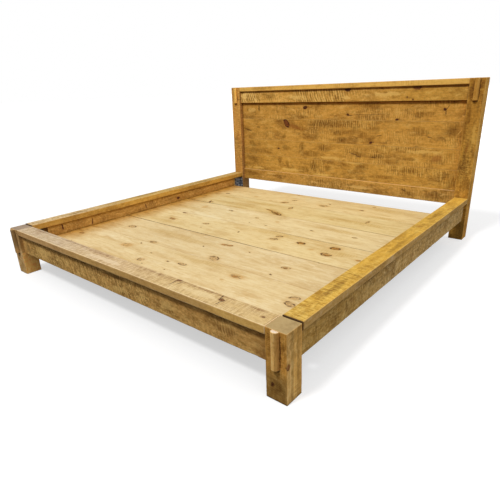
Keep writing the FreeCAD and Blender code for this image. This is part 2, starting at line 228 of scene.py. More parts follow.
def wood(name, grain, across, centre, seed, knots=(), zones=(), **over):
    """solid pine: growth rings round a pith line, fibre, stain clouds, saw marks, knots; centre and knots in mm.
    A knot is (along grain, across, half length, half width, angle, kind) in the part's frame: r with bark ring, d dark,
    f faint, o outline only, s soft stain, p pale patch, k dark line, e painted shadow of a strip on the front beside
    and below it; two more numbers give its place and half size along the third axis.  A zone is (from, to, across from,
    to, amount)."""
    k = dict(LOOK)
    k.update(over)
    t = Tree(name)
    tc = t.node("ShaderNodeTexCoord")
    rel = t.vec("SUBTRACT", tc.outputs["Object"], tuple(c * MM for c in centre))
    ax = dict(zip("xyz", t.sep(rel)))
    third = ({"x", "y", "z"} - {grain, across}).pop()
    ln, ac, th = ax[grain], ax[across], ax[third]
    loc = t.xyz(ln, ac, th)
    sh = t.vec("ADD", loc, (seed * 1.37 % 7.1, seed * 2.11 % 5.3, seed * 0.73 % 3.7))
    nax = dict(zip("xyz", t.sep(tc.outputs["Normal"])))
    endm = t.remap(t.math("ABSOLUTE", nax[grain]), 0.75, 0.95)

    # knots
    kv = t.vec("ADD", loc, t.vec("SCALE", t.vec("SUBTRACT", t.noise(loc, (60, 60, 8), 4.0, 0.6, colour=True),
                                                  (0.5, 0.5, 0.5)), scale=k["warp"]))
    rng = np.random.RandomState(seed * 7 + 3)
    knots = list(knots)
    for q in list(knots):
        if q[5] == "r" and q[2] > 8.5 and len(q) == 6:
            knots.append((q[0] + rng.uniform(-2, 2), q[1] + rng.uniform(-2, 2), q[2] * rng.uniform(0.6, 1.0), 1.1,
                          q[4] + rng.uniform(-50, 50), "k"))
    dist = dict.fromkeys("rdfspkeo")
    cidx = {"x": 0, "y": 1, "z": 2}
    for kl, ka, hl, hw, ang, kind, *deep in knots:
        m = t.node("ShaderNodeMapping", vector_type="TEXTURE")
        t.put(m.inputs["Vector"], kv)
        m.inputs["Location"].default_value = ((kl - centre[cidx[grain]]) * MM, (ka - centre[cidx[across]]) * MM,
                                              (deep[0] - centre[cidx[third]]) * MM if deep else 0)
        m.inputs["Rotation"].default_value = (0, 0, math.radians(ang))
        m.inputs["Scale"].default_value = (hl * MM, hw * MM, deep[1] * MM if deep else 1000)
        d = t.vec("LENGTH", m.outputs[0])
        dist[kind] = d if dist[kind] is None else t.math("MINIMUM", dist[kind], d)
    found = [dist[q] for q in "rdfo" if dist[q] is not None]
    near = None
    for d in found:
        near = d if near is None else t.math("MINIMUM", near, d)

    # growth rings
    wv = t.vec("SCALE", t.vec("SUBTRACT", t.noise(sh, (1.1, 1.3, 1.3), 1.0, colour=True), (0.5, 0.5, 0.5)),
               scale=2 * k["wander"] * MM)
    _, qa, qb = t.sep(t.vec("ADD", loc, wv))
    rr = t.vec("LENGTH", t.xyz(0.0, t.math("SUBTRACT", qa, k["pith"][0] * MM),
                               t.math("SUBTRACT", qb, k["pith"][1] * MM)))
    small = t.math("SUBTRACT", t.noise(sh, (5, 26, 26), 2.0), 0.5)
    rr = t.math("MULTIPLY_ADD", small, 0.011, rr)
    if near is not None:
        flow = t.math("EXPONENT", t.mul(t.math("POWER", t.mul(near, 0.52), 2.0), -1.0))
        rr = t.math("MULTIPLY_ADD", flow, -0.020, rr)
    rc = t.mul(rr, 1000.0 / k["ring_mm"])
    fr = t.math("FRACT", rc)
    prof = t.ramp(fr, [(0.0, 0.02), (0.45, 0.16), (0.80, 0.72), (0.93, 1.0), (1.0, 0.04)])
    wn = t.node("ShaderNodeTexWhiteNoise", noise_dimensions="1D")
    t.put(wn.inputs["W"], t.math("FLOOR", rc))
    ringm = t.mul(prof, t.remap(wn.outputs[0], 0, 1, 0.35, 1.0, False))

    f1 = t.noise(sh, (7, 520, 520), 3.0, 0.6)
    f2 = t.noise(sh, (2.6, 95, 95), 3.0, 0.6)
    bl, ba = k["blotch_mm"]
    b1 = t.noise(sh, (1000 / bl, 1000 / ba, 1000 / ba), 5.0, 0.62)
    bl, ba = k["cloud_mm"]
    b2 = t.noise(sh, (1000 / bl, 1000 / ba, 1000 / ba), 4.0, 0.65)
    f3 = t.noise(sh, (7.5, 48, 48), 3.0, 0.6)

    # saw marks across the grain
    warp = t.math("MULTIPLY_ADD", t.math("SUBTRACT", t.noise(sh, (3, 9, 9), 2.0), 0.5), 0.05, ln)
    ph = t.mul(t.math("MULTIPLY_ADD", ac, k["slope"], warp), TAU * 1000.0 / k["chatter_mm"])
    sine = t.math("MULTIPLY_ADD", t.math("SINE", ph), 0.5, 0.5)
    skew = t.xyz(t.math("MULTIPLY_ADD", ac, k["slope"], ln), ac, th)
    cn = t.noise(skew, (150, 16, 16), 3.0, 0.7)
    cm = t.noise(skew, (1150.0 / k["chatter_mm"], 17, 17), 3.0, 0.65)
    saw = t.math("MULTIPLY_ADD", sine, 0.26, t.add(t.mul(t.remap(cn, 0.34, 0.66, 0, 1, False), 0.24),
                                                   t.mul(t.remap(cm, 0.32, 0.68, 0, 1, False), 0.50)))
    cb = k["chatter_bias"]
    patch = t.remap(t.noise(sh, (3.1, 7, 7), 3.0), 0.44 - cb, 0.60 - cb)
    for z0, z1, a0, a1, amount in zones:
        m = t.node("ShaderNodeMapping", vector_type="TEXTURE")
        t.put(m.inputs["Vector"], kv)
        m.inputs["Location"].default_value = (((z0 + z1) / 2 - centre[cidx[grain]]) * MM,
                                              ((a0 + a1) / 2 - centre[cidx[across]]) * MM, 0)
        m.inputs["Scale"].default_value = ((z1 - z0) / 2 * MM, (a1 - a0) / 2 * MM, 1000)
        u, v, _ = t.sep(m.outputs[0])
        far = t.math("MAXIMUM", t.math("ABSOLUTE", u), t.math("ABSOLUTE", v))
        patch = t.math("MAXIMUM", patch, t.mul(t.remap(far, 1.12, 0.82), amount)) if amount > 0 else \
            t.mul(patch, t.remap(far, 0.82, 1.12, 1 + amount, 1.0))
    if k["calm"] is not None:
        patch = t.mul(patch, t.remap(t.math("ABSOLUTE", nax[k["calm"]]), 0.5, 0.8, 1.0, 0.15))
    fa, fb = (1000.0 / q for q in k["fleck_mm"])
    fl = t.remap(t.noise(t.xyz(t.math("MULTIPLY_ADD", ac, 0.5, ln), ac, th), (fa, fb, fb), 2.0, 0.6), 0.55, 0.67)
    mo = t.noise(sh, (46, 85, 85), 5.0, 0.72)

    early, late, pale = (lin(*k[c]) for c in ("early", "late", "pale"))
    dark = tuple(k["shade"]) + (1.0,)
    col = t.mix(t.mul(ringm, k["ring"]), early, late)
    col = t.mix(t.mul(t.remap(f2, 0.42, 0.62), k["streak"]), col, late)
    col = t.mix(t.mul(t.remap(f3, 0.50, 0.66), k["streak"]), col, dark, "MULTIPLY")
    col = t.mix(t.mul(t.remap(f3, 0.46, 0.34), k["streak"]), col, pale)
    col = t.mix(t.mul(t.remap(f1, 0.35, 0.75, 0, 1, False), k["fibre"]), col, late)
    col = t.mix(t.mul(t.remap(b1, 0.47, 0.66), k["blotch"]), col, dark, "MULTIPLY")
    col = t.mix(t.mul(t.remap(b2, 0.52, 0.68), k["cloud"]), col, dark, "MULTIPLY")
    col = t.mix(t.mul(t.remap(b2, 0.46, 0.30), k["cloud"]), col, pale)
    col = t.mix(t.mul(t.remap(mo, 0.50, 0.64), k["mottle"]), col, dark, "MULTIPLY")
    col = t.mix(t.mul(t.remap(mo, 0.48, 0.36), k["mottle"]), col, pale)
    sawm = t.mul(patch, k["chatter"])
    col = t.mix(t.mul(sawm, t.remap(saw, 0.52, 0.67)), col, dark, "MULTIPLY")
    col = t.mix(t.mul(sawm, t.remap(saw, 0.46, 0.31)), col, pale)
    col = t.mix(t.mul(t.mul(fl, k["fleck"]), t.remap(patch, 0, 1, 0.4, 1.0)), col, pale)
    if k["fuzz"]:
        fz = t.noise(skew, (105, 40, 40), 5.0, 0.68)
        where = t.remap(t.noise(sh, (6.5, 14, 14), 3.0), 0.38, 0.56)
        where = t.mul(t.math("MULTIPLY_ADD", patch, 0.6, t.mul(where, 0.4)), k["fuzz"])
        col = t.mix(t.mul(where, t.remap(fz, 0.50, 0.40)), col, dark, "MULTIPLY")
        col = t.mix(t.mul(where, t.remap(fz, 0.52, 0.64)), col, pale)
    blur = t.math("MULTIPLY_ADD", t.math("SUBTRACT", b2, 0.5), 3.4, t.mul(t.math("SUBTRACT", b1, 0.5), 1.6))
    if dist["s"] is not None:
        m = t.mul(t.remap(t.add(dist["s"], blur), 1.25, 0.25), t.remap(saw, 0.38, 0.62, 0.60, 1.0))
        col = t.mix(t.mul(m, 0.90), col, tuple(k["soft"]) + (1.0,), "MULTIPLY")
    if dist["p"] is not None:
        m = t.remap(t.add(dist["p"], blur), 1.1, 0.5)
        col = t.mix(t.mul(m, k["light"]), col, pale)

    height = t.add(t.mul(f1, 0.55), t.add(t.mul(f2, 0.5), t.mul(ringm, 0.25)))
    height = t.add(height, t.mul(t.mul(saw, patch), 1.6 * k["chatter"]))
    height = t.add(height, t.mul(fl, 0.5 * k["fleck"]))

    # knots over all that
    kn, kd = lin(*k["knot"]), lin(*k["knot_dark"])
    if dist["f"] is not None:
        d = dist["f"]
        body = t.remap(d, 1.25, 0.55)
        col = t.mix(t.mul(body, 0.42), col, lin(*[0.5 * (a + b) for a, b in zip(k["knot"], k["late"])]))
        rim = t.remap(t.math("ABSOLUTE", t.math("SUBTRACT", d, 0.95)), 0.28, 0.0)
        col = t.mix(t.mul(rim, 0.35), col, kn)
    if near is not None:
        halo = t.mul(t.remap(near, 2.4, 0.9), k["halo"])
        col = t.mix(halo, col, lin(*[0.6 * a + 0.4 * b for a, b in zip(k["late"], k["knot"])]))
    for kind in ("r", "d"):
        d = dist[kind]
        if d is None:
            continue
        inner = t.math("MULTIPLY_ADD", t.math("SINE", t.mul(d, 17.0)), 0.5, 0.5)
        body = t.remap(d, 1.10, 0.88)
        if kind == "r":
            kc = t.mix(t.mul(inner, 0.50), kn, t.mix(0.45, kn, kd))
            kc = t.mix(t.mul(t.remap(d, 0.75, 0.30), 0.30), kc, t.mix(0.5, kn, kd))
            col = t.mix(t.mul(body, k["knot_mix"]), col, kc)
            rim = t.mul(t.remap(t.math("ABSOLUTE", t.math("SUBTRACT", d, 1.0)), 0.32, 0.04),
                        t.remap(t.noise(loc, (35, 35, 9), 1.0), 0.38, 0.56, 0.25, 1.0))
            col = t.mix(t.mul(rim, k["rim"]), col, kd)
        else:
            kc = t.mix(t.mul(inner, 0.5), kd, t.mix(0.35, kd, kn))
            col = t.mix(t.mul(body, 0.93), col, kc)
        height = t.math("SUBTRACT", height, t.mul(t.remap(t.math("ABSOLUTE", t.math("SUBTRACT", d, 1.0)), 0.3, 0.0), 0.9))

    if dist["o"] is not None:
        d = dist["o"]
        col = t.mix(t.mul(t.remap(d, 1.2, 0.7), 0.20), col, kn)
        part = t.remap(t.noise(loc, (40, 40, 9), 1.0), 0.38, 0.54, 0.15, 1.0)
        rim = t.add(t.mul(t.remap(t.math("ABSOLUTE", t.math("SUBTRACT", d, 1.0)), 0.34, 0.06), part),
                    t.mul(t.remap(t.math("ABSOLUTE", t.math("SUBTRACT", d, 0.42)), 0.18, 0.02), 0.5))
        col = t.mix(rim, col, kd)
        height = t.math("SUBTRACT", height, rim)
    if dist["k"] is not None:
        m = t.remap(dist["k"], 1.15, 0.55)
        col = t.mix(t.mul(m, 0.80), col, kd)
        height = t.math("SUBTRACT", height, m)

    # painted shadow: the front faces darkened beside and below a strip
    if dist["e"] is not None:
        m = t.mul(t.remap(dist["e"], 1.25, 0.55), t.remap(nax[third], -0.5, -0.85))
        col = t.mix(m, col, (0.30, 0.25, 0.20, 1), "MULTIPLY")

    # colour bands, from none at a to full at b, mm along the axis, on one facing: stain tone, painted shade under edges
    # and in corners and joints, and painted light on faces the lamps leave too dark
    for axis, a, b, factor, *facing in k["pools"]:
        u = t.math("MULTIPLY_ADD", t.math("SUBTRACT", b2, 0.5), 0.007, ax[axis])
        c0 = centre[cidx[axis]]
        m = t.remap(u, (a - c0) * MM, (b - c0) * MM)
        if facing:
            m = t.mul(m, t.remap(t.math("ABSOLUTE", nax[facing[0]]), 0.6, 0.9))
        col = t.mix(m, col, tuple(factor) + (1.0,), "MULTIPLY")

    # end grain
    endc = t.mix(t.mul(ringm, 0.75), lin(*k["end"]), late)
    endc = t.mix(t.mul(t.remap(b2, 0.45, 0.7), 0.35), endc, dark, "MULTIPLY")
    col = t.mix(t.mul(endm, k["end_mix"]), col, endc)
    # colour factor on the faces that look along an axis: board tone, and whole faces made lighter or darker by how
    # light falls on them, painted light and shade
    for axis, factor in k["sides"]:
        m = t.remap(t.math("ABSOLUTE", nax[axis]), 0.45, 0.9)
        col = t.mix(m, col, tuple(factor) + (1.0,), "MULTIPLY")
    # painted light: faces looking towards +y, the backs, made lighter
    if k["back"] is not None:
        m = t.remap(nax["y"], 0.5, 0.9)
        col = t.mix(m, col, tuple(k["back"]) + (1.0,), "MULTIPLY")
    if k["attrs"]:
        # paler colour along the arrises: rubbed wear and painted highlight
        e = t.math("MULTIPLY_ADD", t.math("SUBTRACT", b2, 0.5), -0.006, t.attr("edge"))
        arr = t.mul(t.remap(e, 0.0045, 0.0008), k["arris_mix"])
        col = t.mix(arr, col, lin(*k["arris"]))
        # darker where the surface is sunk deepest
        col = t.mix(t.mul(t.remap(t.attr("rel"), 0.35, 1.3), k["grime"]), col, dark, "MULTIPLY")
        col = t.mix(t.remap(t.attr("crack"), 0.15, 0.75), col, lin(*k["crack"]))
    if k["tint"] is not None:
        col = k["tint"](t, col, ax, sh)
    rough = t.add(t.remap(b2, 0.3, 0.7, k["rough"] - 0.07, k["rough"] + 0.09, False), t.mul(ringm, -0.06))
    return t.finish(col, rough, t.bump(height, 0.0011, k["bump"]), specular=k["spec"])


# ------------------------------------------------------------------ timber meshes
def spaced(a, b, step, first=0.0007, grow=1.65, extra=()):
    """places from a to b, close together at both ends and at the extra lines"""
    pos, d = [0.0], first
    while d < step and pos[-1] + d < (b - a) / 2:
        pos.append(pos[-1] + d)
        d *= grow
    inner = (b - a) - 2 * pos[-1]
    n = max(1, int(round(inner / step)))
    out = [a + x for x in pos] + [a + pos[-1] + inner * i / n for i in range(1, n)] + [b - x for x in reversed(pos)]
    out = sorted(set(round(x, 7) for x in out))
    for e in extra:
        near = [e + o for o in (-0.0022, -0.0011, -0.0005, 0.0, 0.0005, 0.0011, 0.0022)]
        out = [x for x in out if abs(x - e) > 0.0027 or x in (out[0], out[-1])] + near
    return np.array(sorted(set(out)))


def shell(lines):
    """the six faces of a box cut along the lines, each place one vertex"""
    nx, ny, nz = (len(q) for q in lines)

    def key(i, j, k):
        return (i * ny + j) * nz + k

    quads = []
    j, k = np.meshgrid(np.arange(ny - 1), np.arange(nz - 1), indexing="ij")
    for i in (0, nx - 1):
        q = np.stack([key(i, j, k), key(i, j + 1, k), key(i, j + 1, k + 1), key(i, j, k + 1)], -1).reshape(-1, 4)
        quads.append(q if i else q[:, ::-1])
    i, k = np.meshgrid(np.arange(nx - 1), np.arange(nz - 1), indexing="ij")
    for j in (0, ny - 1):
        q = np.stack([key(i, j, k), key(i, j, k + 1), key(i + 1, j, k + 1), key(i + 1, j, k)], -1).reshape(-1, 4)
        quads.append(q if j else q[:, ::-1])
    i, j = np.meshgrid(np.arange(nx - 1), np.arange(ny - 1), indexing="ij")
    for k in (0, nz - 1):
        q = np.stack([key(i, j, k), key(i + 1, j, k), key(i + 1, j + 1, k), key(i, j + 1, k)], -1).reshape(-1, 4)
        quads.append(q if k else q[:, ::-1])
    u, inv = np.unique(np.concatenate(quads), return_inverse=True)
    faces = inv.reshape(-1, 4)
    i, j, k = u // (ny * nz), (u // nz) % ny, u % nz
    return np.stack([lines[0][i], lines[1][j], lines[2][k]], -1), faces


def make_mesh(name, co, faces, attrs, material, tris=None):
    me = bpy.data.meshes.new(name)
    m = len(faces)
    nt = 0 if tris is None else len(tris)
    me.vertices.add(len(co))
    me.vertices.foreach_set("co", np.ascontiguousarray(co, np.float32).ravel())
    me.loops.add(4 * m + 3 * nt)
    flat = faces.ravel() if not nt else np.concatenate([faces.ravel(), tris.ravel()])
    me.loops.foreach_set("vertex_index", flat.astype(np.int32))
    me.polygons.add(m + nt)
    starts = np.concatenate([np.arange(0, 4 * m, 4), 4 * m + np.arange(0, 3 * nt, 3)])
    me.polygons.foreach_set("loop_start", starts.astype(np.int32))
    me.polygons.foreach_set("use_smooth", np.ones(m + nt, bool))
    me.update(calc_edges=True)
    for key, val in attrs.items():
        a = me.attributes.new(key, "FLOAT", "POINT")
        a.data.foreach_set("value", np.ascontiguousarray(val, np.float32))
    me.materials.append(material)
    ob = bpy.data.objects.new(name, me)
    bpy.context.scene.collection.objects.link(ob)
    return ob


AXIS = {"x": 0, "y": 1, "z": 2}


def timber(name, nodes, body, box, grain, across, material, seed, step=0.007, ease=0.0022, wear=0.45,
           relief=1.0, saw=1.0, knots=(), checks=(), tenons=(), ease_at=None, dents=6, seams=()):
    """a sawn board or post: uneven eased arrises, saw waves, sunk knots, drying cracks; box in mm.
    checks are (face sign of the thickness axis, across mm, from mm, to mm, depth mm); seams are (across mm, width mm)"""
    lo, hi = np.array(box[0::2], float) * MM, np.array(box[1::2], float) * MM
    c, h = (lo + hi) / 2, (hi - lo) / 2
    g, a = AXIS[grain], AXIS[across]
    b = ({0, 1, 2} - {g, a}).pop()
    lines = [None] * 3
    lines[g] = spaced(lo[g], hi[g], step)
    lines[a] = spaced(lo[a], hi[a], step, extra=[q[1] * MM for q in checks])
    for at, wide, *_ in seams:
        q = lines[a]
        side = at * MM + (1 if at * MM < c[a] else -1) * wide * MM * np.array([0.4, 0.8, 1.15, 1.6])
        lines[a] = np.array(sorted(set(np.round(np.concatenate([q, side]), 6))))
    lines[b] = spaced(lo[b], hi[b], step)
    P, F = shell(lines)
    p = P - c
    n3 = vnoise(P * 21, seed + 9)
    r = ease * (1 + wear * fbm(P * 34, seed) + 0.7 * wear * vnoise(P * 8, seed + 5))
    r = r + np.clip(n3 - 0.66, 0, 1) * 0.016 * wear
    if ease_at is not None:
        r = r * ease_at(P)
    r = np.clip(r, 0.0003, 0.85 * h.min())
    q = np.clip(p, -(h - r[:, None]), h - r[:, None])
    d = p - q
    nrm = d / np.maximum(np.linalg.norm(d, axis=1), 1e-12)[:, None]
    out = q + nrm * r[:, None]

    # depth below the box's faces, never above them
    flat = np.abs(nrm[:, g]) < 0.6
    stretch = np.ones(3)
    stretch[g] = 0.22
    depth = 0.22e-3 * (fbm(P * stretch * 22, seed + 1) + 1)
    depth += 0.10e-3 * (vnoise(P * stretch * 150, seed + 2) + 1)
    patch = step01(vnoise(P * 3.3, seed + 3), -0.25, 0.35)
    wave = np.sin(TAU * (P[:, g] / 0.0145 + 0.15 * P[:, a] / 0.0145 + 0.7 * vnoise(P * 5, seed + 4)))
    depth += 0.16e-3 * saw * (wave + 1) * patch * flat
    depth *= relief
    rng = np.random.RandomState(1000 + seed)
    for _ in range(dents):
        at = lo + rng.rand(3) * (hi - lo)
        face = rng.choice([i for i in (0, 1, 2) if i != g])
        at[face] = hi[face] if rng.rand() < 0.7 else lo[face]
        size = 0.004 + 0.008 * rng.rand()
        far = np.linalg.norm((P - at) / (np.where(np.arange(3) == g, 1.8, 1.0) * size), axis=1)
        depth += relief * (0.25e-3 + 0.5e-3 * rng.rand()) * np.exp(-far ** 2)
    face_b = np.abs(nrm[:, b]) > 0.8
    for kl, ka, hl, hw, ang, kind, *deep in knots:
        ca, sa = math.cos(math.radians(ang)), math.sin(math.radians(ang))
        u, v = P[:, g] - kl * MM, P[:, a] - ka * MM
        far = np.hypot((u * ca + v * sa) / (hl * MM), (-u * sa + v * ca) / (hw * MM))
        if kind in "rd" and not deep:
            depth += relief * face_b * 0.35e-3 * np.exp(-((far - 1.0) / 0.35) ** 2)
            depth -= relief * face_b * 0.25e-3 * np.exp(-(far / 0.7) ** 2)
    crack = np.zeros(len(P))
    shift = np.zeros(len(P))
    for sgn, ka, l0, l1, deep in checks:
        on = (nrm[:, b] * sgn > 0.7) | ((np.abs(nrm[:, g]) > 0.6) & (np.abs(P[:, g] - np.where(abs(l0 * MM - lo[g]) < abs(l1 * MM - hi[g]), lo[g], hi[g])) < 1e-6) & (p[:, b] * sgn > h[b] * (1 - 2.2 * deep * MM / h[b])))
        u = P[:, g] / MM
        along = step01(u, l0, l0 + 0.35 * (l1 - l0) + 1e-6) if l0 > lo[g] / MM + 1 else np.ones(len(P))
        along = along * (1 - step01(u, l1 - 0.35 * (l1 - l0) - 1e-6, l1)) if l1 < hi[g] / MM - 1 else along
        along = along * ((u >= l0) & (u <= l1))
        off = np.abs(P[:, a] - ka * MM)
        prof = np.clip(1 - off / 0.0011, 0, 1)
        depth += on * along * prof * deep * MM
        crack = np.maximum(crack, on * along * np.clip(1 - off / 0.0013, 0, 1))
        grid = np.stack([P[:, g] * 24, np.full(len(P), ka * 0.01), np.zeros(len(P))], -1)
        shift += 0.0016 * vnoise(grid, seed + 8) * np.clip(1 - off / 0.012, 0, 1)
    for at, wide, *course in seams:
        off = np.abs(P[:, a] - at * MM) / (wide * MM)
        ragged = 1 + 0.5 * vnoise(np.stack([P[:, g] * 60, P[:, b] * 60, np.zeros(len(P))], -1), seed + 6)
        force = np.interp(P[:, g] / MM, *zip(*course)) if course else 1.0
        crack = np.maximum(crack, force * np.clip(1.35 - off / ragged, 0, 0.8))
    depth = np.clip(depth, 0, None)
    out = out - nrm * depth[:, None]
    inner = np.clip(1 - np.abs(p[:, a]) / h[a], 0, 1) * h[a]
    out[:, a] += shift * step01(inner, 0.0, 0.006)

    e = np.sort(h - np.abs(p), axis=1)[:, 1]
    attrs = {"edge": e, "rel": depth / MM, "crack": crack}
    verts, faces = [out], [F]
    for tb in tenons:
        tlo, thi = np.array(tb[0::2], float) * MM, np.array(tb[1::2], float) * MM
        P2, F2 = shell([spaced(tlo[i], thi[i], 0.012) for i in range(3)])
        p2 = P2 - (tlo + thi) / 2
        h2 = (thi - tlo) / 2
        r2 = 0.0008
        q2 = np.clip(p2, -(h2 - r2), h2 - r2)
        d2 = p2 - q2
        o2 = q2 + d2 / np.linalg.norm(d2, axis=1)[:, None] * r2 + (tlo + thi) / 2
        base = sum(len(v) for v in verts)
        verts.append(o2 - (lo + hi) / 2)
        faces.append(F2 + base)
        attrs["edge"] = np.concatenate([attrs["edge"], np.full(len(o2), 0.02)])
        attrs["rel"] = np.concatenate([attrs["rel"], np.zeros(len(o2))])
        attrs["crack"] = np.concatenate([attrs["crack"], np.zeros(len(o2))])
    ob = make_mesh(name, np.concatenate(verts) + c, np.concatenate(faces), attrs, material)
    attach(ob, body)
    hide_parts(*nodes)
    return ob


def round_strip(name, node, xc, y_face, z0, z1, material, seed, w=16.0, d=19.0, s=6.0):
    """the round-fronted strip on a post; its section is the CAD one, its surface is hand-worked; mm"""
    k = 0.62

    def bez(p0, p1, p2, p3, n):
        t = np.linspace(0, 1, n)[:, None]
        return (1 - t) ** 3 * p0 + 3 * (1 - t) ** 2 * t * p1 + 3 * (1 - t) * t * t * p2 + t ** 3 * p3

    a, b, m = np.array([-w, -s]), np.array([w, -s]), np.array([0, -d])
    left = bez(a, a + [0, -(d - s) * k], m + [-w * k, 0], m, 15)
    right = bez(m, m + [w * k, 0], b + [0, -(d - s) * k], b, 15)
    side_l = np.stack([np.full(4, -w), np.linspace(-0.6, -s, 4)], -1)
    side_r = np.stack([np.full(4, w), np.linspace(-s, -0.6, 4)], -1)
    back = np.stack([np.linspace(w - 0.6, -w + 0.6, 9), np.zeros(9)], -1)
    prof = np.concatenate([side_l[:-1], left[:-1], right[:-1], side_r, back])
    n = len(prof)
    mid = np.array([0.0, -d * 0.45])
    # inward direction at each point of the section
    tan = np.roll(prof, -1, 0) - np.roll(prof, 1, 0)
    nor = np.stack([tan[:, 1], -tan[:, 0]], -1)
    nor /= np.linalg.norm(nor, axis=1)[:, None]
    nor *= np.sign(((mid - prof) * nor).sum(1))[:, None]
    zs = spaced(z0, z1, 4.5, first=0.35, grow=1.7)
    rings, edge, rel = [], [], []
    for z in zs:
        near = min(z - z0, z1 - z)
        ease = 2.6 - math.sqrt(max(0.0, 2.6 ** 2 - max(0.0, 2.6 - near) ** 2)) if near < 2.6 else 0.0
        pts = np.concatenate([prof, np.full((n, 1), z)], 1)
        dep = 0.30 * (fbm(pts * [0.08, 0.08, 0.02], seed) + 1) + 0.12 * (vnoise(pts * [0.5, 0.5, 0.06], seed + 1) + 1)
        dep = np.where(prof[:, 1] > -0.01, 0.0, dep)
        rings.append(prof + nor * (dep + ease)[:, None])
        edge.append(np.full(n, near * MM))
        rel.append(dep)
    co = [np.concatenate([r, np.full((n, 1), z)], 1) for r, z in zip(rings, zs)]
    faces = []
    for i in range(len(zs) - 1):
        j = np.arange(n)
        faces.append(np.stack([i * n + j, i * n + (j + 1) % n, (i + 1) * n + (j + 1) % n, (i + 1) * n + j], -1))
    base = len(zs) * n
    caps = []
    tris = []
    for end, z in ((0, z0), (len(zs) - 1, z1)):
        prev = end * n + np.arange(n)
        for sc in (0.72, 0.4):
            ring = mid + (rings[end] - mid) * sc
            lift = (0.25 if end == 0 else -0.25) * (1 + vnoise(np.concatenate([ring * 0.2, np.full((n, 1), z)], 1), seed + 4))
            caps.append(np.concatenate([ring, (z + lift)[:, None]], 1))
            now = base + np.arange(n)
            base += n
            q = np.stack([prev, np.roll(prev, -1), np.roll(now, -1), now], -1)
            faces.append(q if end else q[:, ::-1])
            prev = now
        caps.append(np.array([[mid[0], mid[1], z + (0.3 if end == 0 else -0.3)]]))
        tri = np.stack([prev, np.roll(prev, -1), np.full(n, base)], -1)
        tris.append(tri if end else tri[:, ::-1])
        base += 1
    allco = np.concatenate(co + caps)
    nc = sum(len(x) for x in caps)
    attrs = {
        "edge": np.concatenate(edge + [np.full(nc, 0.004)]),
        "rel": np.concatenate(rel + [np.zeros(nc)]),
        "crack": np.zeros(len(allco)),
    }
    allco = (allco + [xc, y_face, 0]) * MM
    fq, ft = np.concatenate(faces), np.concatenate(tris)
    # the section runs clockwise seen from above or not; make the faces look outwards
    v = allco[fq[0]]
    nn = np.cross(v[1] - v[0], v[2] - v[0])
    out = (v.mean(0) - np.array([xc, y_face + mid[1], v[:, 2].mean() / MM]) * MM)
    if np.dot(nn, out) < 0:
        fq, ft = fq[:, ::-1], ft[:, ::-1]
    ob = make_mesh(name, allco, fq, attrs, material, ft)
    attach(ob, "root")
    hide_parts(node)
    return ob


# ------------------------------------------------------------------ camera at the photograph's angle
YAW, PITCH, ROLL = -0.7091732775609687, 0.37604717677153526, 0.04005247158320362
fwd = Vector((math.sin(YAW) * math.cos(PITCH), math.cos(YAW) * math.cos(PITCH), -math.sin(PITCH)))
right = Vector((math.cos(YAW), -math.sin(YAW), 0))
down = fwd.cross(right)
right, down = (math.cos(ROLL) * right + math.sin(ROLL) * down, -math.sin(ROLL) * right + math.cos(ROLL) * down)
cam_data = bpy.data.cameras.new("camera")
cam_data.sensor_fit = "HORIZONTAL"
cam_data.sensor_width = 36.0
cam_data.lens = 428.737 / 500 * 36.0
cam_data.shift_x = (250 - 248.528) / 500
cam_data.shift_y = (257.413 - 250) / 500
cam_data.clip_start, cam_data.clip_end = 0.05, 200
cam = bpy.data.objects.new("camera", cam_data)
bpy.context.scene.collection.objects.link(cam)
m = Matrix.Identity(4)
for i in range(3):
    m[i][0], m[i][1], m[i][2] = right[i], -down[i], -fwd[i]
m[0][3], m[1][3], m[2][3] = 1.777210, -1.007056 - 1.118, 1.064147
cam.matrix_world = m
bpy.context.scene.camera = cam

# ------------------------------------------------------------------ light and floor
scene = bpy.context.scene
scene.view_settings.view_transform = "Standard"
scene.view_settings.look = "None"
world = bpy.data.worlds.new("studio")
scene.world = world
world.use_nodes = True
wt = world.node_tree
bg = wt.nodes["Background"]
wc = wt.nodes.new("ShaderNodeTexCoord")
ws = wt.nodes.new("ShaderNodeSeparateXYZ")
wr = wt.nodes.new("ShaderNodeValToRGB")
wt.links.new(wc.outputs["Generated"], ws.inputs[0])
wt.links.new(ws.outputs[2], wr.inputs[0])
for e in range(2):
    wr.color_ramp.elements.new(0.5)
for e, (pos, val) in zip(wr.color_ramp.elements, [(0.0, 0.04), (0.25, 0.26), (0.65, 0.80), (1.0, 1.30)]):
    e.position = pos
    e.color = (val, val, val, 1)
wt.links.new(wr.outputs[0], bg.inputs[0])
wm = wt.nodes.new("ShaderNodeMath")
wm.operation = "MULTIPLY_ADD"
wm.inputs[1].default_value, wm.inputs[2].default_value = 0.32, 0.72
wt.links.new(ws.outputs[0], wm.inputs[0])
wt.links.new(wm.outputs[0], bg.inputs[1])


def soft_sun(name, azimuth, elevation, energy, angle):
    """a distant soft lamp; azimuth 0 is in front of the foot end, 90 to its right"""
    d = bpy.data.lights.new(name, "SUN")
    d.energy, d.angle = energy, math.radians(angle)
    o = bpy.data.objects.new(name, d)
    scene.collection.objects.link(o)
    az, el = math.radians(azimuth), math.radians(elevation)
    way = Vector((math.sin(az) * math.cos(el), -math.cos(az) * math.cos(el), math.sin(el)))
    o.location = way * 8
    o.rotation_mode = "QUATERNION"
    o.rotation_quaternion = way.to_track_quat("Z", "Y")


key_data = bpy.data.lights.new("key_soft", "AREA")
key_data.shape, key_data.size, key_data.energy = "DISK", 2.2, 985
key = bpy.data.objects.new("key_soft", key_data)
scene.collection.objects.link(key)
key.location = (-0.9, -7.7, 12.8)
key.rotation_mode = "QUATERNION"
key.rotation_quaternion = (key.location - Vector((0, 0, 0.3))).to_track_quat("Z", "Y")
soft_sun("fill_soft", 80, 32, 0.22 * math.pi, 60)


